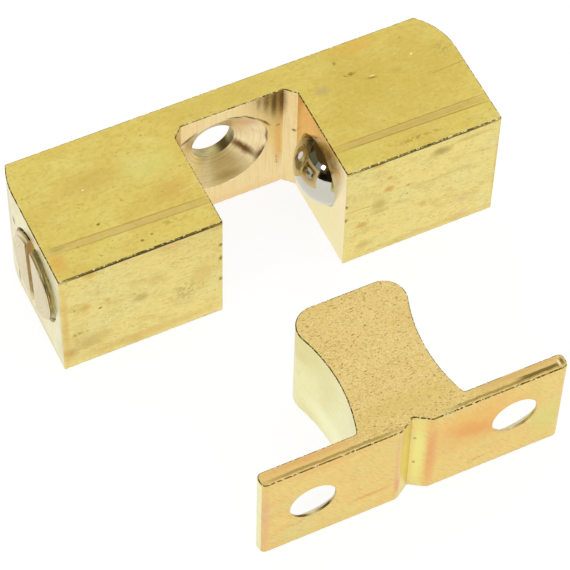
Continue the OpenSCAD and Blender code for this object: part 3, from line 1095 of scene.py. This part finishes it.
# The flange's outer face is brushed at a slant and then stained by heat, in orange and pink
# clouds on yellow. The brush lines are drawn 0.16 mm wide, wider than real ones, to show.
BRUSHED_STRIKE = Brass(
    name="brushed brass strike",
    colour="#eed079",
    grains=(
        Grain((6, 3, 4), "#ebbf72", 0.5, 0.45, 0.66, 3.0),
        Grain((5, 3, 3.5), "#e2d88a", 0.55, 0.5, 0.68, 3.0),
        Grain((1.4, 0.5, 0.17), "#d3a457", 0.42, 0.5, 0.72, 2.0, -0.002, turn=(0, 52, 0)),
        Grain((1.1, 0.5, 0.16), "#fae6a4", 0.4, 0.54, 0.72, 2.0, turn=(0, 52, 0)),
    ),
    marks=(
        STRIKE_FRONT.mark((11, 0), (7, 5), "#f0b65c", 0.65, 1.5),
        STRIKE_FRONT.mark((10.8, -1), (4.2, 1.7), "#e79a4c", 0.5, 1.6, turn=24),
        STRIKE_FRONT.mark((5, -3.4), (0.8, 8), "#ec9c66", 0.55, 0.6),
        STRIKE_FRONT.mark((0.8, -7), (0.5, 1.8), "#e0826a", 0.55, 0.4),
        STRIKE_FRONT.mark((0.5, -2), (0.35, 7), "#e9b58a", 0.5, 0.3),
        STRIKE_FRONT.mark((-2.8, -6.6), (3, 0.35), "#e39a56", 0.6, 0.5),
        STRIKE_FRONT.mark((-17, -3), (0.7, 8), "#e6a98a", 0.5, 0.6),
        STRIKE_FRONT.mark((-9, 4.2), (6, 0.6), "#f0b36c", 0.5, 0.6),
        STRIKE_FRONT.mark((-9, -9.6), (7, 0.8), "#e5ce74", 0.6, 0.7),
        STRIKE_FRONT.mark((20.9, -5.2), (2.2, 4), "#dfd778", 0.65, 1),
        STRIKE_FRONT.mark((11.6, -8.3), (1.6, 0.25), "#d98c62", 0.6, 0.4, gaps=0.4),
        STRIKE_FRONT.mark((19, 2), (1.6, 2), "#e4cf76", 0.5, 0.8),
        STRIKE_FRONT.mark((-12, -6.4), (3, 0.4), "#d99a4e", 0.45, 0.8, gaps=0.6),
        # The groove's two flanks, painted paler and greener, partly as painted reflection, with two
        # small dark dots in its bottom.
        Mark((1.7, -52.2, -3), (1, 1, 9), "#f4ec7e", 0.85, ragged=0.3),
        Mark((3.7, -52.2, -3), (1, 1, 9), "#f5ee90", 0.8, ragged=0.3),
        Mark((3.2, -52.1, 0.4), (0.2, 1, 0.2), "#8f8644", 0.8, ragged=0.1),
        Mark((3.3, -52.1, -5), (0.2, 1, 0.25), "#8f8644", 0.8, ragged=0.1),
    ),
    roughness=0.3,
)
# Drilled brass, mottled with chips and oil. Only a thin rim of it shows.
STRIKE_HOLE = Brass(
    name="drilled brass strike",
    colour="#dccb94",
    grains=(
        Grain((1, 1, 1), "#8d763f", 0.6, 0.45, 0.68, 3.0),
    ),
)
# Ball bearing steel, ground and lapped, so it is nearly a mirror.
POLISHED = Steel("polished ball steel", "#cbc9bc", 0.06, 0.05)
# Hard drawn spring wire, grey and dull.
SPRING_WIRE = Steel("drawn spring steel", "#8f9092", 0.3, 0.1)


# Sub-assemblies


@dataclass(frozen=True)
class Arm:
    """One arm of the bar with its ball and its plug. Places along X and lengths, in mm.

    Axis leads from the arm's outer end to the slot. Travel is how far the ball goes in, and is not
    used here; slot_turn is the turn of the driver's slot away from upright, in degrees.
    """

    side: str
    axis: Axis
    end: float
    ball: float
    travel: float
    plug_face: float
    slot_turn: float
    plug_length: float = 5.2

    @property
    def inward(self) -> float:
        """1 where the slot lies towards +X, otherwise -1."""
        return float(self.axis.value[0][0])

    @property
    def plug_back(self) -> float:
        """Place of the plug's inner face, which the spring stands on."""
        return self.plug_face + self.inward * self.plug_length


LEFT = Arm("left", Axis.ALONG_X, end=END.level, ball=-10.0, travel=2.2, plug_face=-29.2,
           slot_turn=-4.0)
RIGHT = Arm("right", Axis.AGAINST_X, end=31.6, ball=12.7, travel=2.95, plug_face=32.4,
            slot_turn=25.0)


@dataclass
class CatchBar:
    """The slotted bar, with its screw hole, ball bores and threaded ends. Sizes in mm.

    Hair is how near a face's middle lies to a surface that it is on, rim how far a finish
    reaches past an edge, and step the longest distance between two points of the outline. Cup
    end is the angle in degrees at which a ball's seat stops short of its axis.
    """

    left: Arm = LEFT
    right: Arm = RIGHT
    open_side: float = OPEN.level
    top: float = UPPER.level
    slot_left: float = -6.7
    slot_right: float = 10.15
    slot_floor: float = FLOOR.level
    slot_facet: float = 1.35
    left_ease: tuple[float, float] = (0.95, 4.75)
    right_ease: tuple[float, float] = (2.8, 6.5)
    edge: float = 0.13
    hollow: float = 0.08
    bore_radius: float = 5.6
    cup_radius: float = 5.53
    cup_end: float = 1.0
    cup_rings: int = 28
    thread_radius: float = 6.0
    thread_depth: float = 8.0
    mouth: float = 0.25
    screw_radius: float = 2.95
    sink_radius: float = 6.55
    sink_angle: float = 118.0
    hair: float = 0.01
    rim: float = 0.1
    step: float = 0.8

    def eased(self, end: float, ease: tuple[float, float]) -> list[Bend]:
        """The eased corner of the right end, and the softened edge where it meets the back.

        The arc leaves the end face smoothly. Its radius is the sum of the squares of both
        reaches over twice the reach along the back.

        Args:
            end: Place of the end face, as a distance to the right.
            ease: Reach along the back and down the end.

        Returns:
            The arc and the softened edge.
        """
        along, deep = ease
        radius = (along ** 2 + deep ** 2) / (2 * along)
        angle = math.degrees(math.atan2(deep, radius - along))
        corner = (end - along, 0.0)
        steep = math.radians(angle)
        before = (corner[0] + math.sin(steep), -math.cos(steep))
        edge = rounded(before, corner, (corner[0] - 1, 0.0), self.edge)
        trimmed = angle - math.degrees(self.edge * math.tan((math.pi / 2 - steep) / 2) / radius)
        return [Bend((end - radius, -deep), radius, 0.0, trimmed), edge]

    def outline(self) -> Outline:
        """The bar's outline seen from above, anticlockwise from its left front corner.

        Returns:
            Points and unit directions out of the solid.
        """
        front, floor, facet = self.open_side, self.slot_floor, self.slot_facet
        corners = [(self.left.end, front), (self.slot_left, front),
                   (self.slot_left, floor - facet), (self.slot_left + facet, floor),
                   (self.slot_right - facet, floor), (self.slot_right, floor - facet),
                   (self.slot_right, front), (self.right.end, front)]
        radii = [self.edge] * 2 + [self.hollow] * 4 + [self.edge] * 2
        befores = [(self.left.end, 0.0)] + corners[:-1]
        afters = corners[1:] + [(self.right.end, 0.0)]
        bends = [rounded(*line) for line in zip(befores, corners, afters, radii)]
        right = self.eased(self.right.end, self.right_ease)
        left = [bend.mirrored() for bend in reversed(self.eased(-self.left.end, self.left_ease))]
        return closed_outline(bends + right + left, self.step)

    def ball_bore(self, arm: Arm) -> Piece:
        """The cutter for an arm: thread, bore and the round seat that keeps the ball in.

        Distances run from the arm's outer end. A point of the seat lies at the ball's centre
        plus the seat's radius times the cosine, and at that radius times the sine.

        Args:
            arm: The arm of the bar that it belongs to.

        Returns:
            The cutter.
        """
        angle = np.radians(np.linspace(90, self.cup_end, self.cup_rings))
        middle = (arm.ball - arm.end) * arm.inward
        cup = zip(middle + self.cup_radius * np.cos(angle), self.cup_radius * np.sin(angle))
        wide = self.thread_radius + self.mouth
        profile = [(-PAST, wide), (0.0, wide), (self.mouth, self.thread_radius),
                   (self.thread_depth, self.thread_radius),
                   (self.thread_depth + self.hair, self.bore_radius), *cup]
        return turned(f"{arm.side} bore", profile, (arm.end, BALL_AXIS_Y, 0.0), arm.axis)

    def screw_bore(self) -> Piece:
        """The cutter for the countersunk screw hole, from the slot's floor to the back.

        Returns:
            The cutter.
        """
        slope = math.tan(math.radians(self.sink_angle / 2))
        sink = (self.sink_radius - self.screw_radius) / slope
        profile = [(-PAST, self.sink_radius), (0.0, self.sink_radius), (sink, self.screw_radius),
                   (-self.slot_floor + PAST, self.screw_radius)]
        return turned("screw bore", profile, (0.0, self.slot_floor, 0.0), Axis.ALONG_Y)

    def finishes(self, bar: Piece) -> list[Rule]:
        """Which faces of the bar take which finish, by their place and direction.

        Args:
            bar: The bar, with its bores cut.

        Returns:
            The rules for paint, in order.
        """
        middle, way = faces_of(bar)
        x, y, z = middle.T
        along, back, up = np.abs(way[:, 0]), way[:, 1], np.abs(way[:, 2])
        from_balls, from_screw = np.hypot(y - BALL_AXIS_Y, z), np.hypot(x, z)
        from_end = np.minimum(x - self.left.end, self.right.end - x)
        in_slot = ((x > self.slot_left - self.hair) & (x < self.slot_right + self.hair)
                   & (y > self.open_side + self.rim))
        end_face = (along > 0.9) & (from_end < 1)
        in_bore = ((from_end > 2 * self.hair) & ~in_slot & ~end_face
                   & (from_balls < self.thread_radius + self.mouth + self.rim))
        in_screw_bore = ((y > self.slot_floor + self.hair) & (y < -self.hair)
                         & (from_screw < self.sink_radius + self.hair))
        in_sink = in_screw_bore & (from_screw > self.screw_radius + self.rim / 2)
        at_rim = np.minimum(self.top - z, z - UNDERSIDE) < self.edge
        return [
            (OPEN_SIDE, (back < -0.5) & (y < self.open_side + 2 * self.rim)),
            (DRAWN, (back > 0.5) & (y > -2 * self.rim)),
            (MILLED_SLOT, in_slot & (y < -self.rim / 2)),
            (MILLED_WALL, in_slot & (along > 0.9)),
            (DRAWN, up > 0.5),
            (BORED, in_bore | (in_screw_bore & ~in_sink)),
            (COUNTERSUNK, in_sink),
            (FILED_EDGE, at_rim & (up < 0.99)),
        ]

    def build(self) -> None:
        """Makes the bar and puts it in its place."""
        bar = carried_up("catch_bar", self.outline(), UNDERSIDE, self.top, self.edge)
        cut(bar, self.ball_bore(self.left), self.ball_bore(self.right), self.screw_bore())
        paint(bar, SAWN_END, *self.finishes(bar))
        crisp(bar)
        seat(bar, "catch_body", "catch")


@dataclass
class SprungBalls:
    """The two balls, each held in its arm's seat by a spring. Sizes in mm.

    Parting is the turn, counted from its plug, at which a spring is parted, and hair the part
    of a turn left free on either side of that. Clearance keeps its ends off the ball and the plug.
    Pole is the angle in degrees left open at the ends of a ball's half circle. The last counts
    are how finely a ball, a turn and the wire are divided.
    """

    radius: float = 5.5
    wire: float = 0.9
    coil_radius: float = 4.2
    turns: int = 6
    closed_pitch: float = 1.1
    parting: float = 2.5
    hair: float = 0.0005
    clearance: float = 0.03
    pole: float = 0.4
    ball_rings: int = 72
    turn_rings: int = 48
    wire_sides: int = 16
    arms: tuple[Arm, ...] = (LEFT, RIGHT)

    def ball(self, arm: Arm) -> Piece:
        """A ball as a half circle turned about X, its height the radius times the sine.

        Args:
            arm: The arm of the bar that it belongs to.

        Returns:
            The object.
        """
        angle = np.radians(np.linspace(180 - self.pole, self.pole, self.ball_rings))
        profile = list(zip(self.radius * np.cos(angle), self.radius * np.sin(angle)))
        centre = (arm.ball, BALL_AXIS_Y, 0.0)
        return turned(f"{arm.side}_steel_ball", profile, centre, Axis.ALONG_X)

    def climb(self, arm: Arm, turn: np.ndarray) -> np.ndarray:
        """Distance from the plug's inner face to the middle of the wire after some turns.

        The wire climbs a closed turn at each end and shares the rest of the way to the ball's
        back evenly between the open turns.

        Args:
            arm: The arm that holds the spring.
            turn: Numbers of turns from the plug.

        Returns:
            The distances, in mm.
        """
        start = self.wire / 2 + self.clearance
        behind = math.sqrt((self.radius + start) ** 2 - self.coil_radius ** 2)
        closed = self.wire * self.closed_pitch
        room = abs(arm.ball - arm.plug_back) - behind - start
        open_turns = self.turns - 2
        pitch = (room - 2 * closed) / open_turns
        return (start + closed * np.minimum(turn, 1) + pitch * np.clip(turn - 1, 0, open_turns)
                + closed * np.maximum(turn - self.turns + 1, 0))

    def coil(self, name: str, arm: Arm, first: float, last: float) -> Piece:
        """Some turns of the coil spring between a plug's inner face and the back of its ball.

        The wire's middle runs round the axis at the coil's radius and climbs along it. Each
        ring of the wire is a circle in the plane through the axis.

        Args:
            name: Name of the piece.
            arm: The arm that holds the spring.
            first: Turn at which the piece starts.
            last: Turn at which it ends.

        Returns:
            The object.
        """
        rings = math.ceil((last - first) * self.turn_rings) + 1
        turn = np.linspace(first, last, rings)[:, None]
        around = np.linspace(0, 2 * np.pi, self.wire_sides, endpoint=False)[None]
        reach = self.coil_radius + self.wire / 2 * np.cos(around)
        along = self.climb(arm, turn) + self.wire / 2 * np.sin(around)
        swing = 2 * np.pi * turn
        return solid(name, np.stack([arm.plug_back + arm.inward * along,
                                     BALL_AXIS_Y + reach * np.cos(swing) * arm.inward,
                                     reach * np.sin(swing)], axis=-1))

    def spring(self, arm: Arm) -> None:
        """A spring in two runs of turns, parted at one turn.

        The run at the ball takes the imported spring's place and rides on the bar, and the run at
        the plug stays where it is made.

        Args:
            arm: The arm of the bar that it belongs to.
        """
        near = self.coil(f"{arm.side}_spring_plug_turns", arm, 0.0, self.parting - self.hair)
        far = self.coil(f"{arm.side}_spring_ball_turns", arm, self.parting + self.hair, self.turns)
        for run in (near, far):
            paint(run, SPRING_WIRE)
        seat(far, f"spring_{arm.side}", "catch")
        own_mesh(far)
        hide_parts(f"spring_{arm.side}")
        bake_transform(near)

    def build(self) -> None:
        """Makes the balls and their springs."""
        for arm in self.arms:
            ball = self.ball(arm)
            paint(ball, POLISHED)
            seat(ball, f"ball_{arm.side}", f"{arm.side}_ball")
            self.spring(arm)


@dataclass
class ScrewPlugs:
    """The two plugs that set the springs: fine threads, a chamfer and a driver's slot. In mm.

    Steep is how many times steeper the thread's flanks are than an even zigzag, and flat how far
    down they start from its crest. Drawn in is the share of the thread's depth by which the
    rims of the end faces are smaller, and crease the angle in degrees at which an edge is sharp.
    """

    radius: float = 5.94
    pitch: float = 1.0
    thread: float = 0.5
    steep: float = 2.6
    flat: float = 0.15
    chamfer: float = 0.5
    slot_width: float = 1.5
    slot_depth: float = 1.6
    drawn_in: float = 0.2
    crease: float = 40.0
    rings: int = 120
    sides: int = 144
    hair: float = 0.02
    arms: tuple[Arm, ...] = (LEFT, RIGHT)

    def body(self, arm: Arm) -> Piece:
        """A threaded cylinder with a chamfer at each end.

        The radius at a point is the crest's radius less the thread's depth times a zigzag of
        the distance along the axis in pitches less the turn, cut to the chamfers. The zigzag is
        steepened and kept between 0 and 1.

        Args:
            arm: The arm of the bar that it belongs to.

        Returns:
            The object.
        """
        along = np.linspace(0, arm.plug_length, self.rings)[:, None]
        turn = np.linspace(0, 1, self.sides, endpoint=False)[None]
        phase = (along / self.pitch - turn) % 1
        flank = np.clip(np.abs(phase - 0.5) * self.steep - self.flat, 0, 1)
        edge = np.minimum(along, arm.plug_length - along)
        rim = self.radius - self.chamfer
        radius = np.minimum(self.radius - self.thread * flank, rim + np.minimum(edge, self.chamfer))
        radius = np.where(edge > 0, radius, rim - self.thread * self.drawn_in)
        swing = 2 * np.pi * turn
        local = np.stack([along + 0 * swing, radius * np.cos(swing), radius * np.sin(swing)],
                         axis=-1)
        grid = np.array((arm.plug_face, BALL_AXIS_Y, 0.0)) + local @ np.array(arm.axis.value)
        return solid(f"{arm.side}_screw_plug", grid)

    def driver_slot(self, arm: Arm) -> Piece:
        """The cutter for the driver's slot, a block turned about the plug's axis.

        Args:
            arm: The arm of the bar that it belongs to.

        Returns:
            The cutter.
        """
        half, reach = self.slot_width / 2, self.radius + PAST
        ring = np.array([(-half, -reach), (half, -reach), (half, reach), (-half, reach)])
        angle = math.radians(arm.inward * arm.slot_turn)
        spin = np.array([(math.cos(angle), math.sin(angle)), (-math.sin(angle), math.cos(angle))])
        ring = ring @ spin + (BALL_AXIS_Y, 0.0)
        places = sorted(arm.plug_face + arm.inward * end for end in (-PAST, self.slot_depth))
        rings = [np.column_stack([np.full(len(ring), x), ring]) for x in places]
        return solid("driver slot", np.array(rings))

    def finishes(self, plug: Piece, arm: Arm) -> list[Rule]:
        """Which faces of a plug take which finish, by their depth and distance from its axis.

        Args:
            plug: The plug, with its slot cut.
            arm: The arm of the bar that it belongs to.

        Returns:
            The rules for paint, in order.
        """
        middle, way = faces_of(plug)
        deep = (middle[:, 0] - arm.plug_face) * arm.inward
        reach = np.hypot(middle[:, 1] - BALL_AXIS_Y, middle[:, 2])
        outside = reach > self.radius - self.chamfer - self.thread
        return [
            (SAWN_SLOT, (deep > self.hair) & (deep < arm.plug_length - self.hair)),
            (THREAD, outside & (np.abs(way[:, 0]) < 0.98)),
            (CUT_PLUG, outside & (deep < self.chamfer)),
        ]

    def build(self) -> None:
        """Makes both plugs and puts them in their places."""
        for arm in self.arms:
            plug = self.body(arm)
            cut(plug, self.driver_slot(arm))
            paint(plug, CUT_PLUG, *self.finishes(plug, arm))
            crisp(plug, self.crease)
            seat(plug, f"adjuster_{arm.side}", f"{arm.side}_adjuster")


@dataclass
class Strike:
    """The strike: a flange with two screw holes and a waisted head. Sizes in mm.

    The land is the straight part of a hole, and hole_past how far its cutter reaches past the
    flange on the head's side. Hair, rim and step are as in the bar.
    """

    middle: float = 2.85
    flange_face: float = STRIKE_FRONT.level
    top: float = STRIKE_TOP.level
    flange_length: float = 40.4
    flange_thickness: float = 2.0
    flange_round: float = 0.7
    head_reach: float = 18.55
    head_width: float = 14.55
    head_round: float = 2.9
    waist_width: float = 11.7
    waist_reach: float = 7.3
    root_fillet: float = 0.5
    groove_width: float = 4.1
    groove_depth: float = 1.3
    groove_lip: float = 0.8
    groove_bottom: float = 0.25
    edge: float = 0.14
    hole_radius: float = 3.05
    hole_past: float = 0.3
    land: float = 0.35
    sink_angle: float = 118.0
    hole_spacing: float = 26.9
    hole_heights: tuple[float, float] = (7.65, 8.75)
    hair: float = 0.01
    rim: float = 0.1
    step: float = 0.5

    def right_half(self) -> list[Bend]:
        """The arcs of the outline's right half, from the groove round to the head's tip.

        The waist's arc touches the head's rounded corner and the fillet at the head's root:
        its centre lies one waist radius outside the waist, and its radius is the one at which
        the distance between centres is the sum, or the difference, of the two radii.

        Returns:
            The arcs, in the outline's direction.
        """
        half, thick = self.flange_length / 2 - self.flange_round, self.flange_thickness
        head_x = self.head_width / 2 - self.head_round
        head_y = thick + self.head_reach - self.head_round
        waist_x, waist_y = self.waist_width / 2, thick + self.waist_reach
        waist = (((waist_x - head_x) ** 2 + (head_y - waist_y) ** 2 - self.head_round ** 2)
                 / (self.head_width - self.waist_width))
        centre = waist_x + waist
        root_y = thick + self.root_fillet
        root_x = centre - math.sqrt((waist - self.root_fillet) ** 2 - (waist_y - root_y) ** 2)
        low = math.degrees(math.atan2(root_y - waist_y, root_x - centre))
        high = math.degrees(math.atan2(head_y - waist_y, head_x - centre)) - 360
        slope = math.degrees(math.atan(self.groove_depth / (self.groove_width / 2)))
        lip_x = self.groove_width / 2 + self.groove_lip * math.tan(math.radians(slope / 2))
        return [
            Bend((lip_x, self.groove_lip), self.groove_lip, -90 - slope, -90),
            Bend((half, self.flange_round), self.flange_round, -90, 0),
            Bend((half, thick - self.flange_round), self.flange_round, 0, 90),
            Bend((root_x, root_y), self.root_fillet, -90, low),
            Bend((centre, waist_y), waist, low, high),
            Bend((head_x, head_y), self.head_round, high + 180, 90),
        ]

    def outline(self) -> Outline:
        """The strike's outline seen from above, anticlockwise from the groove's bottom.

        Returns:
            Points and unit directions out of the solid.
        """
        slant = (self.groove_width / 2, 0.0)
        bottom = rounded((-slant[0], 0.0), (0.0, self.groove_depth), slant, self.groove_bottom)
        right = self.right_half()
        left = [bend.mirrored() for bend in reversed(right)]
        bends = [bend.moved(self.middle, self.flange_face) for bend in [bottom] + right + left]
        return closed_outline(bends, self.step)

    def hole_places(self) -> list[tuple[float, float]]:
        """Places of the two screw holes' axes along X and Z, the left one first."""
        return [(self.middle + side * self.hole_spacing / 2, UNDERSIDE + height)
                for side, height in zip((-1, 1), self.hole_heights)]

    def hole(self, x: float, z: float) -> Piece:
        """The cutter for a screw hole through the flange, countersunk from the head's side.

        Args:
            x: Place of the hole's axis along X.
            z: Its place along Z.

        Returns:
            The cutter.
        """
        slope = math.tan(math.radians(self.sink_angle / 2))
        wide = self.hole_radius + (self.flange_thickness - self.land) * slope
        profile = [(-PAST, self.hole_radius), (self.land, self.hole_radius),
                   (self.flange_thickness, wide), (self.flange_thickness + self.hole_past, wide)]
        return turned("strike hole", profile, (x, self.flange_face, z), Axis.ALONG_Y)

    def finishes(self, strike: Piece) -> list[Rule]:
        """Which faces of the strike take which finish, by their place and direction.

        Args:
            strike: The strike, with its holes cut.

        Returns:
            The rules for paint, in order.
        """
        middle, way = faces_of(strike)
        deep, up = middle[:, 1] - self.flange_face, np.abs(way[:, 2])
        rules = [(BRUSHED_STRIKE, (way[:, 1] < -0.3) & (deep < self.groove_depth + self.rim)),
                 (FILED_EDGE, up > 0.1), (SAWN_STRIKE, up > 0.99)]
        in_flange = (deep > self.hair) & (deep < self.flange_thickness - self.hair)
        for x, z in self.hole_places():
            reach = np.hypot(middle[:, 0] - x, middle[:, 2] - z)
            rules.append((STRIKE_HOLE, in_flange & (reach < self.hole_radius + deep * 2)))
        return rules

    def build(self) -> None:
        """Makes the strike and puts it in its place."""
        strike = carried_up("waisted_strike", self.outline(), UNDERSIDE, self.top, self.edge)
        cut(strike, *[self.hole(x, z) for x, z in self.hole_places()])
        paint(strike, DRAWN_STRIKE, *self.finishes(strike))
        crisp(strike)
        seat(strike, "strike", "strike")


# The studio


def posed(columns: np.ndarray, place: np.ndarray) -> Matrix:
    """A place and turn, from three directions as columns and a place in metres."""
    turn = Matrix([list(map(float, row)) for row in columns]).to_4x4()
    return Matrix.Translation(tuple(place)) @ turn


@dataclass(frozen=True)
class Panel:
    """A flat panel of the studio that faces the part: a lit softbox or a dark card.

    Azimuth 0 is beyond the part along +Y and 90 to its right. Light is the panel's brightness,
    at which 1 shows as white.
    """

    name: str
    azimuth: float
    elevation: float
    distance: float
    size: tuple[float, float]
    light: float
    colour: str = "#ffffff"

    def place(self, target: np.ndarray) -> Matrix:
        """The panel's place and turn, with its back to the light and its face to the target.

        Args:
            target: The point that the panel faces, in metres.

        Returns:
            The panel's matrix.
        """
        azimuth, elevation = math.radians(self.azimuth), math.radians(self.elevation)
        level = math.cos(elevation)
        way = np.array([math.sin(azimuth) * level, math.cos(azimuth) * level, math.sin(elevation)])
        across = np.cross((0.0, 0.0, 1.0), way)
        across /= np.linalg.norm(across)
        columns = np.column_stack([across, np.cross(way, across), way])
        return posed(columns, target + way * self.distance)


@dataclass
class Studio:
    """The pale floor, the lights and the camera.

    The camera's aim, distance, lens and sensor are in mm. Its clip, the floor's reach and the
    panels' sizes and distances are in metres. The cards give the brass and the right ball
    something dark and grey to mirror.
    """

    floor_reach: float = 3.0
    floor_colour: str = "#949494"
    floor_glow: float = 0.86
    room_light: float = 0.5
    aim: Triple = (-1.203, -25.377, 0.0)
    distance: float = 364.415
    azimuth: float = 26.83
    elevation: float = 55.476
    roll: float = 1.728
    lens: float = 186.92
    sensor: float = 36.0
    clip: tuple[float, float] = (0.01, 20.0)
    lamps: tuple[Panel, ...] = (
        Panel("key softbox", -112, 33, 0.45, (0.075, 0.075), 7.0),
        Panel("back softbox", 27, 58, 0.6, (0.5, 0.5), 0.1),
        Panel("front softbox", -165, 35, 0.7, (0.5, 0.3), 0.5),
    )
    cards: tuple[Panel, ...] = (
        Panel("brown wall on the left", -80, 28, 0.6, (1.9, 0.86), 0.0, "#5d4620"),
        Panel("dark wall by the camera", -168, 14, 0.6, (0.95, 0.5), 0.0, "#2a2010"),
        Panel("black card far left", -42, 22, 0.5, (0.12, 0.1), 0.0, "#241f16"),
        Panel("black card near left", -121, 8, 0.5, (0.17, 0.2), 0.0, "#15120c"),
        Panel("grey window", -68, 28, 0.5, (0.26, 0.15), 0.0, "#686d59"),
        Panel("pale window", -98, 28, 0.5, (0.16, 0.14), 0.0, "#9aa09a"),
    )

    def camera(self) -> None:
        """The camera at the photograph's place: it looks down on the part from its left front."""
        azimuth, elevation, roll = turned_by((self.azimuth, self.elevation, self.roll))
        forward = np.array([math.sin(azimuth) * math.cos(elevation),
                            math.cos(azimuth) * math.cos(elevation), -math.sin(elevation)])
        level = np.array([math.cos(azimuth), -math.sin(azimuth), 0.0])
        right = math.cos(roll) * level + math.sin(roll) * np.cross(level, forward)
        columns = np.column_stack([right, np.cross(right, forward), -forward])
        data = bpy.data.cameras.new("camera")
        data.lens, data.sensor_width, data.sensor_fit = self.lens, self.sensor, "HORIZONTAL"
        data.clip_start, data.clip_end = self.clip
        view = placed("camera", data)
        view.matrix_world = posed(columns, (np.array(self.aim) - forward * self.distance) * MM)
        bpy.context.scene.camera = view

    def seen(self, tree: Tree) -> Socket:
        """1 for the rays of the camera and those that gloss and glass send on, otherwise 0.

        Args:
            tree: The node tree.

        Returns:
            The socket that gives 1 or 0.
        """
        rays = add(tree, "ShaderNodeLightPath").outputs
        either = add(tree, "ShaderNodeMath", {0: rays["Is Camera Ray"], 1: rays["Is Glossy Ray"]},
                     operation="MAXIMUM").outputs[0]
        return add(tree, "ShaderNodeMath", {0: either, 1: rays["Is Transmission Ray"]},
                   operation="MAXIMUM").outputs[0]

    def floor(self) -> None:
        """A wide pale floor. It shows as white where nothing shades it, and keeps the shadow."""
        ground = sheet("pale_floor", self.floor_reach, self.floor_reach, UNDERSIDE * MM)
        made, tree = new_material("matt paper floor")
        matt = add(tree, "ShaderNodeBsdfDiffuse", {"Color": tone(self.floor_colour)})
        level = add(tree, "ShaderNodeMath", {0: self.seen(tree), 1: self.floor_glow},
                    operation="MULTIPLY")
        glow = add(tree, "ShaderNodeEmission", {"Color": WHITE, "Strength": level.outputs[0]})
        both = add(tree, "ShaderNodeAddShader", {0: matt.outputs[0], 1: glow.outputs[0]})
        add(tree, "ShaderNodeOutputMaterial", {0: both.outputs[0]})
        ground.data.materials.append(made)

    def surroundings(self) -> None:
        """A white room: white where it is seen, and softer where it lights the floor."""
        world = bpy.data.worlds.new("white room")
        world.use_nodes = True
        tree = world.node_tree
        tree.nodes.clear()
        level = add(tree, "ShaderNodeMapRange", {0: self.seen(tree), 1: 0.0, 2: 1.0,
                                                 3: self.room_light, 4: 1.0}).outputs[0]
        room = add(tree, "ShaderNodeBackground", {"Color": WHITE, "Strength": level})
        add(tree, "ShaderNodeOutputWorld", {0: room.outputs[0]})
        bpy.context.scene.world = world

    def lights(self) -> None:
        """The softboxes. A panel of one brightness gives off pi times its area of light."""
        for panel in self.lamps:
            data = bpy.data.lights.new(panel.name, "AREA")
            data.shape, data.size, data.size_y = "RECTANGLE", *panel.size
            data.energy = panel.light * math.pi * panel.size[0] * panel.size[1]
            placed(panel.name, data).matrix_world = panel.place(np.array(self.aim) * MM)

    def dark_cards(self) -> None:
        """The cards that the metal gives back as dark and grey patches. The camera sees none."""
        for panel in self.cards:
            card = sheet(panel.name.replace(" ", "_"), panel.size[0] / 2, panel.size[1] / 2)
            card.matrix_world = panel.place(np.array(self.aim) * MM)
            made, tree = new_material(panel.name)
            glow = add(tree, "ShaderNodeEmission", {"Color": tone(panel.colour), "Strength": 1.0})
            add(tree, "ShaderNodeOutputMaterial", {0: glow.outputs[0]})
            card.data.materials.append(made)
            card.visible_camera = card.visible_diffuse = card.visible_shadow = False

    def build(self) -> None:
        """Sets up the camera, the floor, the room and the lights."""
        bpy.context.scene.view_settings.view_transform = "Standard"
        self.camera()
        self.floor()
        self.surroundings()
        self.lights()
        self.dark_cards()
        log.info("studio: %d softboxes, %d cards", len(self.lamps), len(self.cards))


def main() -> None:
    """Builds the studio and every piece."""
    logging.basicConfig(level=logging.INFO, format="%(name)s: %(message)s")
    Studio().build()
    CatchBar().build()
    SprungBalls().build()
    ScrewPlugs().build()
    Strike().build()


if __name__ == "__main__":
    main()
